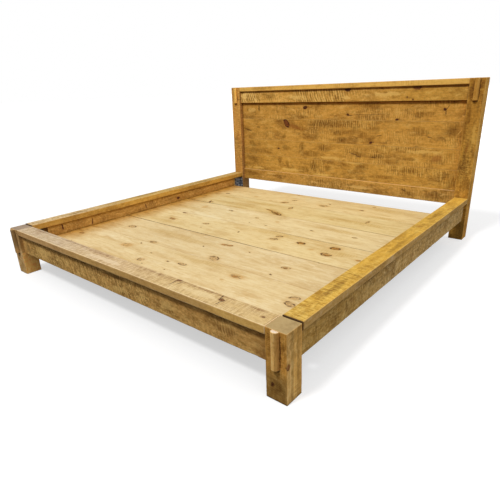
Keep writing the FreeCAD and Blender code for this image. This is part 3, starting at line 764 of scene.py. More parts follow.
def stage_mesh(name, verts, faces, mat):
    me = bpy.data.meshes.new(name)
    me.from_pydata(verts, [], faces)
    me.materials.append(mat)
    o = bpy.data.objects.new(name, me)
    scene.collection.objects.link(o)
    for way in ("diffuse", "glossy", "transmission", "volume_scatter"):
        setattr(o, "visible_" + way, False)
    return o


ft = Tree("floor_pale")
ftc = ft.node("ShaderNodeTexCoord")
fcol = ft.mix(ft.noise(ftc.outputs["Object"], (1.2, 1.2, 1.2), 3.0), (0.50, 0.50, 0.50, 1), (0.52, 0.52, 0.52, 1))
floor_mat = ft.finish(fcol, 0.75, specular=0.1, Emission_Color=(1, 1, 1, 1))
glow = ft.remap(ft.vec("LENGTH", ftc.outputs["Object"]), 2.2, 6.5, 0.55, 1.0)
for nd in ft.nt.nodes:
    if nd.type == "BSDF_PRINCIPLED":
        ft.put(nd.inputs["Emission Strength"], glow)
ring = [(90 * math.cos(TAU * i / 96), 90 * math.sin(TAU * i / 96), 0.0) for i in range(96)]
stage_mesh("floor", ring, [list(range(96))], floor_mat)

dt = Tree("backdrop_pale")
de = dt.node("ShaderNodeEmission")
de.inputs["Color"].default_value = (1, 1, 1, 1)
de.inputs["Strength"].default_value = 1.0
dt.put(dt.node("ShaderNodeOutputMaterial").inputs["Surface"], de.outputs[0])
rows = [(88 * math.cos(a), 88 * math.sin(a)) for a in (0, 0.25, 0.5, 0.75, 1.0, 1.25, 1.5)]
dv = [(r * math.cos(TAU * i / 48), r * math.sin(TAU * i / 48), z - 0.5) for r, z in rows for i in range(48)]
df = [(j * 48 + i, j * 48 + (i + 1) % 48, (j + 1) * 48 + (i + 1) % 48, (j + 1) * 48 + i)
      for j in range(len(rows) - 1) for i in range(48)]
df.append([(len(rows) - 1) * 48 + i for i in range(48)])
dome = stage_mesh("backdrop", dv, df, dt.mat)
dome.visible_shadow = False

# ------------------------------------------------------------------ the bed
HX, PX = 1067.0, 972.0            # outer and inner faces of the posts
YF, YH = -1118.0, 1042.0          # front faces of the foot and head posts


def nbox(node):
    lo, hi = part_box(node)
    out = []
    for i in range(3):
        out += [lo[i] / MM, hi[i] / MM]
    return out


def mid(b):
    return ((b[0] + b[1]) / 2, (b[2] + b[3]) / 2, (b[4] + b[5]) / 2)


# ---- headboard: rough-sawn boards, honey stain
# back: faces towards +y made lighter, painted light
HEAD = dict(early=(232, 176, 82), late=(192, 136, 52), shade=(0.46, 0.40, 0.30), pale=(252, 208, 120),
            ring=0.40, blotch=0.72, blotch_mm=(210, 120), cloud=0.48, cloud_mm=(80, 44), chatter=0.50, chatter_mm=17.0, chatter_bias=-0.07, fleck=0.22,
            streak=0.28, mottle=0.34, soft=(0.50, 0.43, 0.27),
            fuzz=0.34, knot=(140, 72, 34), knot_dark=(66, 26, 12), arris=(236, 190, 104), arris_mix=0.45, end=(190, 140, 72),
            back=(1.42, 1.38, 1.45))
# painted shade on the boards next to the posts
JOINT_SHADE = (0.42, 0.36, 0.30)

plank_knots = {
    1: [(-282, 895, 22, 13, 0, "d"), (112, 842, 12, 8, 0, "d"), (135, 836, 26, 3, 4, "k"), (508, 810, 13, 7, 12, "d"),
        (833, 882, 11, 8, -10, "d"), (700, 850, 60, 16, 0, "s"), (-860, 880, 70, 22, 0, "p"), (300, 905, 90, 18, 0, "s"),
        (852, 894, 22, 3, 55, "k"), (-772, 890, 30, 8, 85, "e"), (-292, 822, 40, 10, 0, "s"), (840, 862, 22, 3, -80, "k")],
    2: [(-472, 768, 34, 17, -54, "r"), (-472, 768, 38, 20, -54, "o"), (-350, 735, 110, 20, -14, "s"), (-395, 742, 60, 12, -14, "f"), (-907, 702, 48, 5, -12, "k"), (-935, 712, 50, 16, 0, "s"),
        (316, 638, 13, 9, 22, "d"), (336, 642, 10, 3, 10, "k"), (450, 619, 170, 1.6, 0, "k"), (300, 655, 44, 22, 25, "s"),
        (248, 690, 46, 22, 10, "s"), (318, 738, 54, 16, 0, "s"), (912, 742, 52, 40, 0, "s"), (946, 735, 44, 3, 60, "p"),
        (668, 728, 56, 22, 0, "s"), (120, 706, 150, 16, 2, "s"), (-40, 770, 240, 20, 0, "s"), (60, 648, 70, 14, 0, "s"),
        (-502, 655, 22, 12, 60, "s"), (-242, 655, 60, 14, 0, "s"), (380, 692, 26, 3, 8, "k"), (-790, 728, 16, 8, 0, "s"),
        (-696, 722, 18, 8, 0, "s"), (752, 694, 24, 3, -8, "k"), (640, 720, 40, 14, 0, "p"), (70, 804, 320, 1.6, 0, "k")],
    3: [(208, 545, 52, 15, -6, "s"), (186, 541, 46, 3, -14, "k"), (224, 526, 30, 2.5, -8, "k"), (378, 536, 60, 14, 6, "s"),
        (342, 528, 34, 3, 8, "k"), (610, 532, 32, 7, 0, "s"), (818, 552, 28, 15, 20, "f"), (-102, 580, 60, 18, 0, "s"),
        (-560, 548, 14, 6, 0, "d"), (-312, 570, 44, 20, 85, "s"), (-480, 556, 34, 16, 0, "s"), (-800, 520, 90, 16, 4, "s"),
        (-700, 512, 60, 12, -8, "s"), (-250, 520, 90, 18, 0, "s"), (700, 590, 120, 14, 0, "p"), (-20, 500, 120, 12, 0, "p"),
        (470, 500, 60, 14, 0, "s"), (-860, 585, 40, 14, -20, "s")],
    4: [(-187, 424, 42, 40, 0, "s"), (-182, 400, 26, 22, 0, "s"), (-176, 420, 34, 3, 86, "k"), (-205, 405, 26, 3, 78, "k"),
        (-462, 410, 30, 12, -60, "s"), (-545, 440, 16, 30, 0, "s"), (-862, 440, 84, 26, -8, "s"), (-912, 380, 60, 20, 0, "s"),
        (-282, 384, 56, 22, 0, "s"), (266, 455, 44, 22, 0, "s"), (100, 452, 46, 12, -12, "s"), (-60, 415, 26, 18, 0, "s"),
        (620, 450, 70, 14, 0, "s"), (-420, 372, 90, 12, 0, "p"), (-60, 352, 120, 10, 0, "p"), (180, 470, 100, 7, 0, "p"),
        (-800, 360, 120, 10, 0, "p"), (940, 400, 30, 40, 0, "s"), (430, 380, 90, 12, 0, "s")],
}
plank_zones = {
    1: [(-700, -350, 801, 930, 0.3), (200, 700, 810, 890, 0.6), (-960, -600, 801, 936, -0.6)],
    2: [(-267, 360, 740, 801, 1.0), (-267, 60, 685, 740, 0.8), (-960, -300, 620, 790, -0.6), (420, 700, 640, 730, 0.5)],
    3: [(90, 250, 500, 600, 0.8), (300, 480, 520, 580, 0.8), (-130, -70, 550, 600, 0.9), (-330, -290, 500, 600, 0.9),
        (-960, -350, 480, 615, -0.6), (600, 800, 480, 520, 0.6)],
    4: [(440, 800, 410, 476, 1.0), (-230, -80, 350, 476, 0.9), (-960, -300, 340, 476, -0.6)],
}
plank_tone = {1: (1.00, 0.97, 0.90), 2: (0.97, 0.95, 0.87), 3: (0.93, 0.92, 0.83), 4: (0.95, 0.95, 0.84)}
plank_pith = {1: (-30, -60), 2: (20, -85), 3: (-10, -55), 4: (30, -75)}
plank_checks = {
    1: [(-1, 843, 140, 420, 1.4)], 2: [(-1, 640, 330, 480, 1.8)], 3: [], 4: [(-1, 452, -960, -700, 1.6)],
}


def tongue(b, along, at, half=7.0, thick=7.0):
    """a tongue inside the joint of two boards, at the height or place `at`, so that no light comes through"""
    y = (b[2] + b[3]) / 2
    return (b[0] + 3, b[1] - 3, y - thick / 2, y + thick / 2, at - half, at + half)


for i in range(1, 5):
    nm = "headboard_plank_%d" % i
    b = nbox(nm)
    plank_knots[i] = [(q[0], q[1], q[2] * 1.3, q[3] * 1.5) + q[4:] if q[5] == "s" else q for q in plank_knots[i]]
    # painted shadow of the band along the top of plank 1, painted shade next to the posts, painted light towards the
    # right end
    pools = []
    if i == 1:
        pools = [("z", 914, 922, (0.55, 0.48, 0.40)), ("z", 928, 936, (0.55, 0.48, 0.42))]
    look = dict(HEAD, pith=plank_pith[i], sides=[("y", plank_tone[i])],
                pools=pools + [("x", PX - 14, PX - 2, JOINT_SHADE), ("x", -PX + 22, -PX + 2, JOINT_SHADE), ("x", 500, 900, (1.07, 1.06, 1.0))])
    mat = wood("pine_" + nm, "x", "z", mid(b), 11 + i, plank_knots[i], plank_zones[i], **look)
    timber("sawn_" + nm, [nm], "root", b, "x", "z", mat, 11 + i, step=0.0075, ease=0.0016,
           knots=[q for q in plank_knots[i] if q[5] in "rdf"], checks=plank_checks[i], tenons=[tongue(b, "x", b[4])])

nm = "headboard_bottom_board"
b = nbox(nm)
kn = [(606, 303, 24, 14, -10, "s"), (610, 300, 20, 3, -20, "k"), (835, 316, 14, 3, 0, "k"), (770, 314, 22, 8, 0, "s"),
      (840, 290, 90, 30, 0, "s"), (640, 280, 60, 20, 0, "s"), (-560, 305, 120, 14, 0, "s"), (-860, 300, 90, 24, 0, "s"),
      (-110, 300, 100, 16, 0, "s"), (-640, 312, 50, 8, 0, "p"), (-180, 282, 60, 12, 0, "p"), (250, 285, 180, 14, 0, "p"),
      (890, 300, 30, 10, 40, "p")]
# painted shade next to the right post and a painted highlight along the top edge of the front
mat = wood("pine_" + nm, "x", "z", mid(b), 17, kn, [(560, 960, 250, 330, 0.5), (-300, 100, 250, 330, 0.3)],
           **dict(HEAD, chatter=0.5, sides=[("y", (0.98, 0.97, 0.96))], arris=(250, 208, 140), arris_mix=0.8,
                  pools=[("x", PX - 10, PX - 2, JOINT_SHADE), ("x", -700, -930, (0.80, 0.77, 0.64)),
                         ("z", 332.5, 335.5, (1.22, 1.2, 1.2), "y")]))
timber("sawn_" + nm, [nm], "root", b, "x", "z", mat, 17, step=0.0075, ease=0.0024,
       knots=[q for q in kn if q[5] in "rdf"])

nm = "headboard_band"
b = nbox(nm)
kn = [(113, 1024, 24, 13, 0, "d"), (638, 1026, 26, 13, 0, "r"), (573, 960, 15, 10, 0, "s"), (618, 952, 12, 10, 0, "s"),
      (575, 962, 6, 4, 0, "d"), (616, 946, 5, 4, 0, "d"), (-640, 980, 60, 34, 0, "s"), (-690, 1006, 34, 12, 0, "s"),
      (90, 968, 40, 12, 0, "p"), (-380, 975, 90, 20, 0, "p"), (-930, 1000, 50, 30, 0, "p"), (420, 985, 120, 16, 0, "p")]
# painted shadow of the cap rail along the top of the band and painted shade next to the posts
mat = wood("pine_" + nm, "x", "z", mid(b), 18, kn, [(-960, -745, 936, 1040, 1.0), (-380, 93, 936, 1040, 1.0),
                                                    (-700, -400, 936, 1040, -0.6), (120, 540, 936, 1040, -0.5)],
           **dict(HEAD, chatter=0.85, chatter_mm=22, slope=0.28, cloud=0.5, cloud_mm=(60, 30), blotch=0.4, fleck=0.4, sides=[("y", (1.03, 1.04, 1.02))],
                  pools=[("z", 1016, 1023, (0.42, 0.36, 0.30)), ("z", 1030, 1034, (0.60, 0.55, 0.50)),
                         ("x", PX - 10, PX - 2, JOINT_SHADE), ("x", -PX + 12, -PX + 2, JOINT_SHADE), ("x", -330, -520, (1.2, 1.25, 1.4)),
                         ("x", 300, 700, (0.98, 0.97, 0.82))]))
timber("sawn_" + nm, [nm], "root", b, "x", "z", mat, 18, step=0.0075, ease=0.0024,
       knots=[q for q in kn if q[5] in "rdf"], tenons=[tongue(b, "x", b[5], 5.0, 8.0)])

nm = "headboard_cap_rail"
b = nbox(nm)
z0, z1 = b[4], b[5]
ten = [(s * PX - (2 if s > 0 else 30), s * PX + (30 if s > 0 else 2), YH + 22, YH + 75, 1045, 1063) for s in (-1, 1)]
b = [-PX, PX] + b[2:]
mat = wood("pine_" + nm, "x", "y", mid(b), 19, [(-300, 1085, 16, 10, 0, "r"), (420, 1100, 12, 9, 0, "r")],
           **dict(HEAD, early=(250, 200, 104), late=(224, 164, 72), shade=(0.66, 0.58, 0.46), sides=[("y", (1.12, 1.14, 1.12))]))
timber("sawn_" + nm, [nm], "root", b, "x", "y", mat, 19, ease=0.0028, tenons=ten)

for side, sx in (("left", -1), ("right", 1)):
    nm = "head_post_" + side
    b = nbox(nm)
    look = dict(HEAD, pith=(18, -12), wander=10, ring=0.40, chatter=0.45, chatter_mm=9.0)
    kn = [(640, sx * 1012, 26, 5, 4, "f"), (130, sx * 1000, 9, 7, 0, "d")]
    # painted shadow of the strip beside it and below its bottom end
    kn += [(1004, sx * 1019.5 + 18.5, 74, 3.5, 0, "e"), (1004, sx * 1019.5 - 18, 72, 2.5, 0, "e"), (931, sx * 1019.5, 7, 18, 0, "e")]
    if side == "left":
        look.update(early=(240, 176, 96), late=(204, 138, 66), chatter_bias=0.12, fleck=0.3,
                    pools=[("z", 720, 420, (0.84, 0.84, 0.86))], sides=[("x", (0.72, 0.70, 0.74)), ("y", (1.08, 1.05, 0.84))])
        zones = [(300, 1040, -1064, -974, 0.5)]
    else:
        # painted shade: darker towards the floor, below the side rail cap
        look.update(sides=[("y", (0.92, 0.87, 0.60)), ("x", (1.28, 1.22, 1.10))], fuzz=0.6, mottle=0.45,
                    pools=[("z", 640, 800, (0.90, 0.85, 0.76), "y"), ("z", 880, 980, (0.90, 0.86, 0.72), "y"), ("z", 300, 60, (0.74, 0.70, 0.66))])
        kn += [(730, 1040, 90, 12, 0, "p"), (560, 1005, 110, 14, 0, "s"), (860, 995, 90, 14, 0, "s"), (1000, 1050, 5, 14, 0, "p"),
               (1030, 1052, 26, 12, 0, "s"), (980, 990, 60, 12, 0, "s"), (740, 985, 80, 10, 0, "s")]
        zones = [(420, 800, 990, 1060, 0.8), (860, 1060, 1035, 1064, 0.6)]
    mat = wood("pine_" + nm, "z", "x", mid(b), 21 + sx, kn, zones, **look)
    timber("sawn_" + nm, [nm], "root", b, "z", "x", mat, 21 + sx, step=0.007, ease=0.003,
           knots=[q for q in kn if q[5] in "rdf"])
    nm = "head_post_strip_" + side
    bb = nbox(nm)
    mat = wood("pine_" + nm, "z", "x", mid(bb), 24 + sx, (), **dict(HEAD, pith=(4, -6), wander=4, chatter=0.15, cloud=0.25,
               blotch=0.3, streak=0.3, early=(230, 174, 78), late=(188, 130, 46), shade=(0.60, 0.52, 0.40), fuzz=0.15,
               pools=[("z", 930, 931, (0.90, 0.84, 0.72) if sx > 0 else (1.40, 1.50, 1.80))]))
    round_strip("turned_" + nm, nm, sx * 1019.5, YH, bb[4], bb[5], mat, 24 + sx, s=3.5)

for i, side in enumerate(("left", "centre", "right")):
    nm = "headboard_batten_" + side
    b = nbox(nm)
    mat = wood("pine_" + nm, "z", "x", mid(b), 31 + i, [(500 + 130 * i, (b[0] + b[1]) / 2 + 9, 12, 8, 0, "r")], **HEAD)
    timber("sawn_" + nm, [nm], "root", b, "z", "x", mat, 31 + i, step=0.008, ease=0.002)

# ---- footboard
FOOT = dict(HEAD, early=(220, 174, 102), late=(178, 132, 68), shade=(0.50, 0.44, 0.34), pale=(250, 214, 150),
            knot=(132, 78, 38), arris=(232, 194, 130), fleck=0.30)
for side, sx in (("left", -1), ("right", 1)):
    nm = "foot_post_" + side
    b = nbox(nm)
    look = dict(FOOT, pith=(-10 * sx, -16), wander=8, ring=0.45, chatter=0.35, chatter_mm=7.0, end=(190, 160, 112), end_mix=0.9,
                arris=(226, 190, 128), arris_mix=0.20,
                sides=[("y", (0.72, 0.65, 0.46)), ("x", (1.46, 1.47, 1.42)), ("z", (0.88, 0.94, 0.95))])
    kn = [(66, sx * 1002, 9, 6, 20, "r"), (66, sx * 1002, 4, 3, 0, "d"), (60, sx * 1020, 34, 30, 0, "s"),
          (255, 984, 44, 9, 0, "s"), (250, 1052, 46, 6, 0, "s")] if sx > 0 else [(90, sx * 1040, 9, 7, 0, "f")]
    # painted shadow of the strip beside it and below its bottom end
    kn += [(220, sx * 1019.5 + 18.5, 84, 3.5, 0, "e"), (220, sx * 1019.5 - 18, 80, 3.5, 0, "e"), (136, sx * 1019.5, 6, 17, 0, "e")]
    if sx > 0:
        kn.append((163, 1066, 13, 12, 0, "r", YF + 9, 8))
        # painted light: the front lighter above 150 mm than near the floor; darker at the very bottom
        look.update(pools=[("z", 90, 150, (1.74, 1.62, 1.34), "y"),
                           ("y", YF + 20, YF + 26, (0.80, 0.78, 0.72), "x"), ("y", YF + 38, YF + 44, (1.42, 1.44, 1.42), "x"),
                           ("y", YF + 60, YF + 65, (0.72, 0.68, 0.62), "x"), ("y", YF + 82, YF + 86, (1.10, 1.06, 1.0), "x"),
                           ("z", 60, 6, (0.84, 0.82, 0.80)), ("z", 9, 3, (0.5, 0.48, 0.45))])
    else:
        # painted light: the face looking along x lighter below the apron
        look.update(sides=[("y", (1.22, 1.26, 1.44)), ("z", (0.82, 0.86, 0.98))], pools=[("z", 150, 136, (2.2, 1.98, 1.62), "x")], end=(172, 152, 130))
    mat = wood("pine_" + nm, "z", "x", mid(b), 41 + sx, kn, [(20, 280, sx * 1019 - 40, sx * 1019 + 40, 0.6)], **look)
    timber("sawn_" + nm, [nm], "root", b, "z", "x", mat, 41 + sx, step=0.005, ease=0.0028,
           knots=[q for q in kn if q[5] in "rdf"])
    nm = "foot_post_strip_" + side
    bb = nbox(nm)
    # on the right strip, painted shade on both flanks of the round front and a painted highlight on its left half
    mat = wood("pine_" + nm, "z", "x", mid(bb), 44 + sx, (),
               **dict(FOOT, pith=(4, -6), wander=4, chatter=0.12, cloud=0.25, blotch=0.25,
                      early=(250, 204, 128), late=(198, 144, 70), shade=(0.50, 0.42, 0.30),
                      end=(248, 236, 222) if sx > 0 else (150, 116, 80), end_mix=0.95, ring=0.6, streak=0.45,
                      pools=[("z", 130, 131, (1.36, 1.34, 1.24)), ("x", 1022, 1028, (0.55, 0.48, 0.38)),
                             ("x", 1010, 1005, (0.70, 0.64, 0.58)), ("x", 1019, 1015, (1.12, 1.12, 1.1))] if sx > 0 else
                      [("z", 130, 131, (0.42, 0.40, 0.40)), ("z", 200, 160, (1.7, 1.6, 1.5))]))
    round_strip("turned_" + nm, nm, sx * 1019.5, YF, bb[4], bb[5], mat, 44 + sx, s=3.5)

nm = "footboard_cap_rail"
b = nbox(nm)
ten = [(s * PX - (2 if s > 0 else 30), s * PX + (30 if s > 0 else 2), YF + 22, YF + 75, 272, 289) for s in (-1, 1)]
b = [-PX, PX] + b[2:]
kn = [(440, -1030, 12, 8, 15, "r"), (716, -1060, 13, 8, -10, "r"), (930, -1070, 8, 6, 0, "f"), (932, -1070, 5, 4, 0, "r"), (-250, -1045, 9, 6, 0, "f"),
      (432, -1060, 3, 34, 6, "k"), (462, -1048, 2.5, 24, -14, "k"), (724, -1084, 3, 26, -8, "k"), (700, -1040, 2.5, 20, 12, "k"),
      (-800, -1040, 150, 9, 0, "s"), (-420, -1036, 200, 8, 0, "s"), (-160, -1044, 120, 12, 0, "s"), (260, -1040, 130, 10, 0, "s"),
      (600, -1072, 90, 18, 0, "p"), (620, -1034, 200, 6, 0, "s"), (-60, -1080, 140, 16, 0, "p"), (880, -1036, 60, 8, 0, "s")]
# painted shade on the top of both ends where the cap meets the posts
mat = wood("pine_" + nm, "x", "y", mid(b), 51, kn, [(-960, -80, -1115, -1030, 0.8), (120, 960, -1060, -1024, 0.9),
                                                    (300, 560, -1115, -1024, 0.8)],
           **dict(FOOT, early=(236, 202, 150), late=(204, 166, 118), shade=(0.66, 0.56, 0.49), pale=(246, 218, 178),
                  soft=(0.60, 0.50, 0.46), fleck=0.2,
                  chatter=0.70, chatter_mm=6.5, chatter_bias=0.10, slope=0.04, cloud=0.40, blotch=0.40, calm="y",
                  arris=(250, 224, 176), arris_mix=0.6, sides=[("y", (0.96, 0.82, 0.49)), ("z", (0.84, 0.86, 0.84))],
                  pools=[("x", PX - 9, PX - 4, (0.74, 0.70, 0.64), "z"), ("x", -PX + 9, -PX + 4, (0.42, 0.36, 0.30), "z"),
                         ("x", 0, 420, (1.0, 0.99, 0.84), "z"), ("x", -60, -600, (0.94, 1.0, 1.16), "z"),
                         ("x", 650, 760, (1.22, 1.25, 1.12), "y"), ("x", 0, -700, (1.0, 1.0, 1.25), "y")]))
timber("sawn_" + nm, [nm], "root", b, "x", "y", mat, 51, step=0.006, ease=0.0026,
       knots=[q for q in kn if q[5] in "rdf"], tenons=ten)

nm = "footboard_apron"
b = nbox(nm)
ten = [(s * PX - (2 if s > 0 else 30), s * PX + (30 if s > 0 else 2), YF + 29, YF + 47, 155, 247) for s in (-1, 1)]
b = [-PX, PX] + b[2:]
kn = [(-150, 222, 140, 14, 0, "s"), (-700, 190, 120, 40, 0, "p"), (40, 232, 110, 10, 0, "s"), (-560, 228, 100, 12, 0, "s"),
      (60, 175, 90, 22, 0, "p"), (420, 190, 90, 30, 0, "p"), (760, 195, 70, 20, 0, "s"), (240, 190, 70, 34, 0, "p"),
      (-900, 190, 24, 30, 10, "s")]
# painted shadow of the cap along the top of the apron; darker towards the right post
mat = wood("pine_" + nm, "x", "z", mid(b), 52, kn, [(-960, 330, 144, 250, 1.0), (330, 960, 144, 262, -0.5)],
           **dict(FOOT, chatter=0.55, chatter_mm=14.0, slope=0.3, fleck=0.65, fleck_mm=(20, 10), fuzz=0.5, cloud_mm=(80, 40),
                  cloud=0.6, mottle=0.42, light=0.34, soft=(0.46, 0.38, 0.30), pale=(250, 216, 140), sides=[("y", (1.16, 1.07, 0.94))],
                  pools=[("z", 224, 230, (0.90, 0.86, 0.82)), ("z", 252, 260, (0.60, 0.55, 0.50)),
                         ("x", 860, 940, (0.74, 0.68, 0.62))]))
timber("sawn_" + nm, [nm], "root", b, "x", "z", mat, 52, step=0.006, ease=0.0022,
       knots=[q for q in kn if q[5] in "rdf"], tenons=ten)

# ---- side rails
def joint_shadow_line(end):
    """painted shadow line in the butt joint of a cap and its foot post"""
    def tint(t, col, ax, sh):
        return t.mix(t.remap(ax["y"], end + 0.0062, end + 0.0040), col, (0.10, 0.08, 0.06, 1), "MULTIPLY")
    return tint


for side, sx in (("left", -1), ("right", 1)):
    nm = "side_rail_cap_" + side
    b = nbox(nm)
    kn = [(260, sx * 1010, 11, 7, 0, "f"), (700, sx * 1040, 9, 6, 0, "f"),
          (-700, sx * 1020, 120, 16, 0, "s"), (-100, sx * 1040, 160, 16, 0, "s"), (520, sx * 1020, 120, 18, 0, "s")]
    cap_look = dict(HEAD, early=(228, 180, 74), late=(200, 142, 44), shade=(0.58, 0.50, 0.36), pale=(244, 206, 112),
                    sides=[("x", (0.99, 1.06, 2.3)), ("z", (0.92, 0.92, 0.80))]) if sx > 0 else \
        dict(HEAD, early=(226, 188, 122), late=(200, 156, 88), shade=(0.60, 0.52, 0.42), pale=(240, 208, 152),
             arris=(220, 186, 130), arris_mix=0.2,
             sides=[("x", (0.82, 0.70, 0.34)), ("z", (0.91, 0.97, 1.14))])
    # painted shade at both ends where the cap meets the posts
    mat = wood("pine_" + nm, "y", "x", mid(b), 61 + sx, kn, [(-1020, -500, sx * 1022 - 44, sx * 1022 + 44, 0.9),
                                                              (100, 800, sx * 1022 - 44, sx * 1022 + 44, 0.7)],
               **dict(cap_look, chatter=0.65, chatter_mm=9.0, slope=0.05, fuzz=0.35, calm="x",
                      tint=joint_shadow_line((b[2] - b[3]) / 2 * MM),
                      pools=[("y", b[2] + 16, b[2] + 6, (0.80, 0.74, 0.66)), ("y", b[3] - 7, b[3] - 1, (0.30, 0.25, 0.20))]
                      + ([("y", -860, -1000, (1.0, 1.06, 1.35), "z"), ("y", 450, 900, (1.12, 1.13, 1.2), "z")] if sx > 0 else
                         [("y", -720, -150, (0.92, 0.86, 0.55), "z"), ("y", -850, -300, (1.20, 1.23, 1.17), "x")])))
    timber("sawn_" + nm, [nm], "root", b, "y", "x", mat, 61 + sx, step=0.006, ease=0.0026,
           knots=[q for q in kn if q[5] in "rdf"])
    nm = "side_rail_apron_" + side
    b = nbox(nm)
    kn = [(-610, 210, 12, 9, 0, "f"), (90, 185, 11, 8, 0, "f"), (640, 205, 12, 8, 0, "f")]
    kn += [(-930 + 150 * j + 30 * (-1) ** (j // 2), 200, 6, 70, 4 * (-1) ** j, "s") for j in range(13)]
    # painted shade along the top of the apron, under the cap
    mat = wood("pine_" + nm, "y", "z", mid(b), 64 + sx, kn, [(-1020, 1040, 144, 262, 0.35)],
               **dict(FOOT, early=(216, 168, 94), late=(172, 126, 62), chatter=0.5, chatter_mm=11, fleck=0.3,
                      soft=(0.62, 0.56, 0.48), fuzz=0.50, mottle=0.56, sides=[("x", (0.975, 0.965, 0.77))],
                      pools=[("z", 246, 260, (0.66, 0.62, 0.56)), ("z", 226, 246, (0.84, 0.82, 0.80)),
                             ("y", -760, -60, (1.22, 1.30, 1.7), "x")]
                      + ([("y", -900, -925, (0.42, 0.38, 0.30))] if sx < 0 else [])))
    timber("sawn_" + nm, [nm], "root", b, "y", "z", mat, 64 + sx, step=0.0065, ease=0.0022,
           knots=[q for q in kn if q[5] in "rdf"])
    nm = "side_rail_inner_board_" + side
    b = nbox(nm)
    kn = [(-820, 240, 5, 22, 8, "d"), (-596, 222, 4, 20, -6, "d"), (-123, 226, 4, 18, 5, "d"), (214, 221, 17, 11, 0, "d")]
    # painted shadow under the cap's edge, painted shade near the deck and in the corner at the foot end
    mat = wood("pine_" + nm, "y", "z", mid(b), 67 + sx, kn,
               **dict(HEAD, early=(204, 154, 74), late=(172, 120, 46), chatter=0.15, blotch=0.4, cloud=0.3, fleck=0.05,
                      pools=[("z", 206, 194, (0.80, 0.76, 0.62)), ("z", 240, 258, (0.66, 0.58, 0.26)),
                             ("y", -860, -1010, (0.66, 0.62, 0.60))]))
    timber("planed_" + nm, [nm], "root", b, "y", "z", mat, 67 + sx, step=0.008, ease=0.0018,
           relief=0.5, knots=kn)

# ---- deck: planed unstained pine
deck_knots = [
    (-812, 646, 20, 9, 10, "r"), (-812, 646, 22, 7, 6, "d"), (-780, 640, 30, 5, 0, "s"), (-520, 689, 14, 9, 0, "f"), (-214, 902, 22, 6, 4, "r"),
    (-158, 738, 18, 10, 20, "o"), (-158, 738, 9, 4, 20, "d"), (-192, 647, 30, 13, 32, "r"),
    (-194, 645, 18, 5, 36, "d"), (118, 708, 16, 5, 14, "d"), (430, 747, 13, 5, 0, "d"), (453, -96, 25, 15, 0, "o"),
    (664, -65, 27, 18, 6, "o"), (-330, 640, 12, 6, 0, "f"), (-51, 527, 13, 22, 10, "o"),
    (146, 781, 12, 5, -30, "d"), (128, 715, 30, 15, 8, "o"), (120, 706, 16, 7, 10, "r"), (430, 747, 17, 9, 0, "r"),
    (380, 740, 60, 8, 2, "s"), (472, 875, 12, 7, 0, "r"), (595, 500, 7, 26, 0, "o"), (358, 432, 13, 8, 0, "f"),
    (-738, 342, 34, 9, -56, "d"), (-716, 352, 12, 6, -40, "d"), (-745, 365, 16, 5, -50, "r"), (-140, 388, 70, 12, -20, "s"), (-150, 392, 42, 7, -20, "r"),
    (-62, 350, 38, 10, -28, "d"), (-26, 322, 30, 11, -42, "d"), (-60, 352, 90, 22, -26, "s"), (-60, 352, 64, 19, -28, "o"),
    (-388, 223, 13, 6, -20, "d"), (-400, 228, 18, 9, 0, "o"), (-655, 200, 12, 26, 0, "f"), (-106, 180, 13, 9, 0, "o"),
    (79, 177, 13, 9, 0, "f"), (377, 142, 12, 6, -10, "d"), (669, 165, 14, 9, 0, "o"), (60, 70, 10, 5, 0, "d"),
    (-660, -6, 22, 11, 0, "r"), (-662, -8, 16, 5, 0, "d"), (-621, -168, 26, 15, -10, "o"), (-610, -172, 18, 9, 0, "r"), (-320, -125, 21, 12, 14, "o"),
    (-318, -130, 12, 6, 20, "r"), (-290, -207, 6, 4, 0, "d"), (-4, -139, 5, 12, 20, "d"), (274, -70, 20, 14, 40, "o"),
    (266, -66, 3, 16, 10, "k"), (270, -126, 25, 14, 20, "o"), (283, -132, 4, 12, -20, "k"), (453, -96, 24, 14, 0, "r"),
    (664, -65, 26, 17, 6, "r"), (675, -182, 20, 11, 10, "r"), (668, -176, 29, 18, 0, "o"), (556, -152, 15, 8, 8, "f"),
    (850, -158, 13, 8, 0, "r"), (-713, -456, 29, 17, 0, "o"), (88, -374, 22, 10, 10, "r"), (126, -366, 18, 9, 20, "r"),
    (297, -388, 10, 4, -30, "d"), (0, -464, 8, 4, -30, "d"), (595, -456, 23, 12, 14, "o"), (592, -458, 10, 6, 0, "r"),
    (190, -569, 33, 21, -24, "o"), (178, -560, 5, 3, 0, "d"), (580, -567, 8, 6, 0, "d"), (-320, -587, 23, 12, 0, "o"), (-326, -590, 10, 3, 0, "k"),
    (-368, -641, 10, 5, -20, "d"), (-421, -713, 36, 22, 20, "f"), (-446, -702, 19, 3, 12, "k"), (-404, -726, 18, 3, 42, "k"), (-420, -700, 13, 3, 60, "k"), (-432, -728, 14, 2.5, -24, "k"), (-178, -716, 9, 4, 0, "d"), (7, -748, 10, 5, 0, "d"),
    (105, -730, 25, 10, 6, "o"), (-145, -816, 21, 16, 20, "o"), (81, -833, 6, 5, 0, "d"), (457, -684, 38, 18, 8, "f"), (478, -690, 20, 3, -14, "k"), (430, -678, 17, 3, 24, "k"),
    (450, -688, 18, 9, 6, "r"), (462, -674, 16, 2.5, 4, "k"), (420, -753, 9, 5, 0, "f"), (824, -713, 23, 12, 20, "o"), (838, -772, 27, 15, -20, "o"),
    (-890, -742, 17, 10, 0, "o"), (-560, -975, 14, 9, 0, "r"), (380, -990, 12, 8, 0, "f"), (-90, -850, 5, 4, 0, "d"),
    (-800, -870, 5, 4, 0, "d"), (700, -300, 5, 3, 0, "d"), (-560, 430, 5, 3, 0, "d"), (-80, 60, 5, 4, 0, "d"),
]
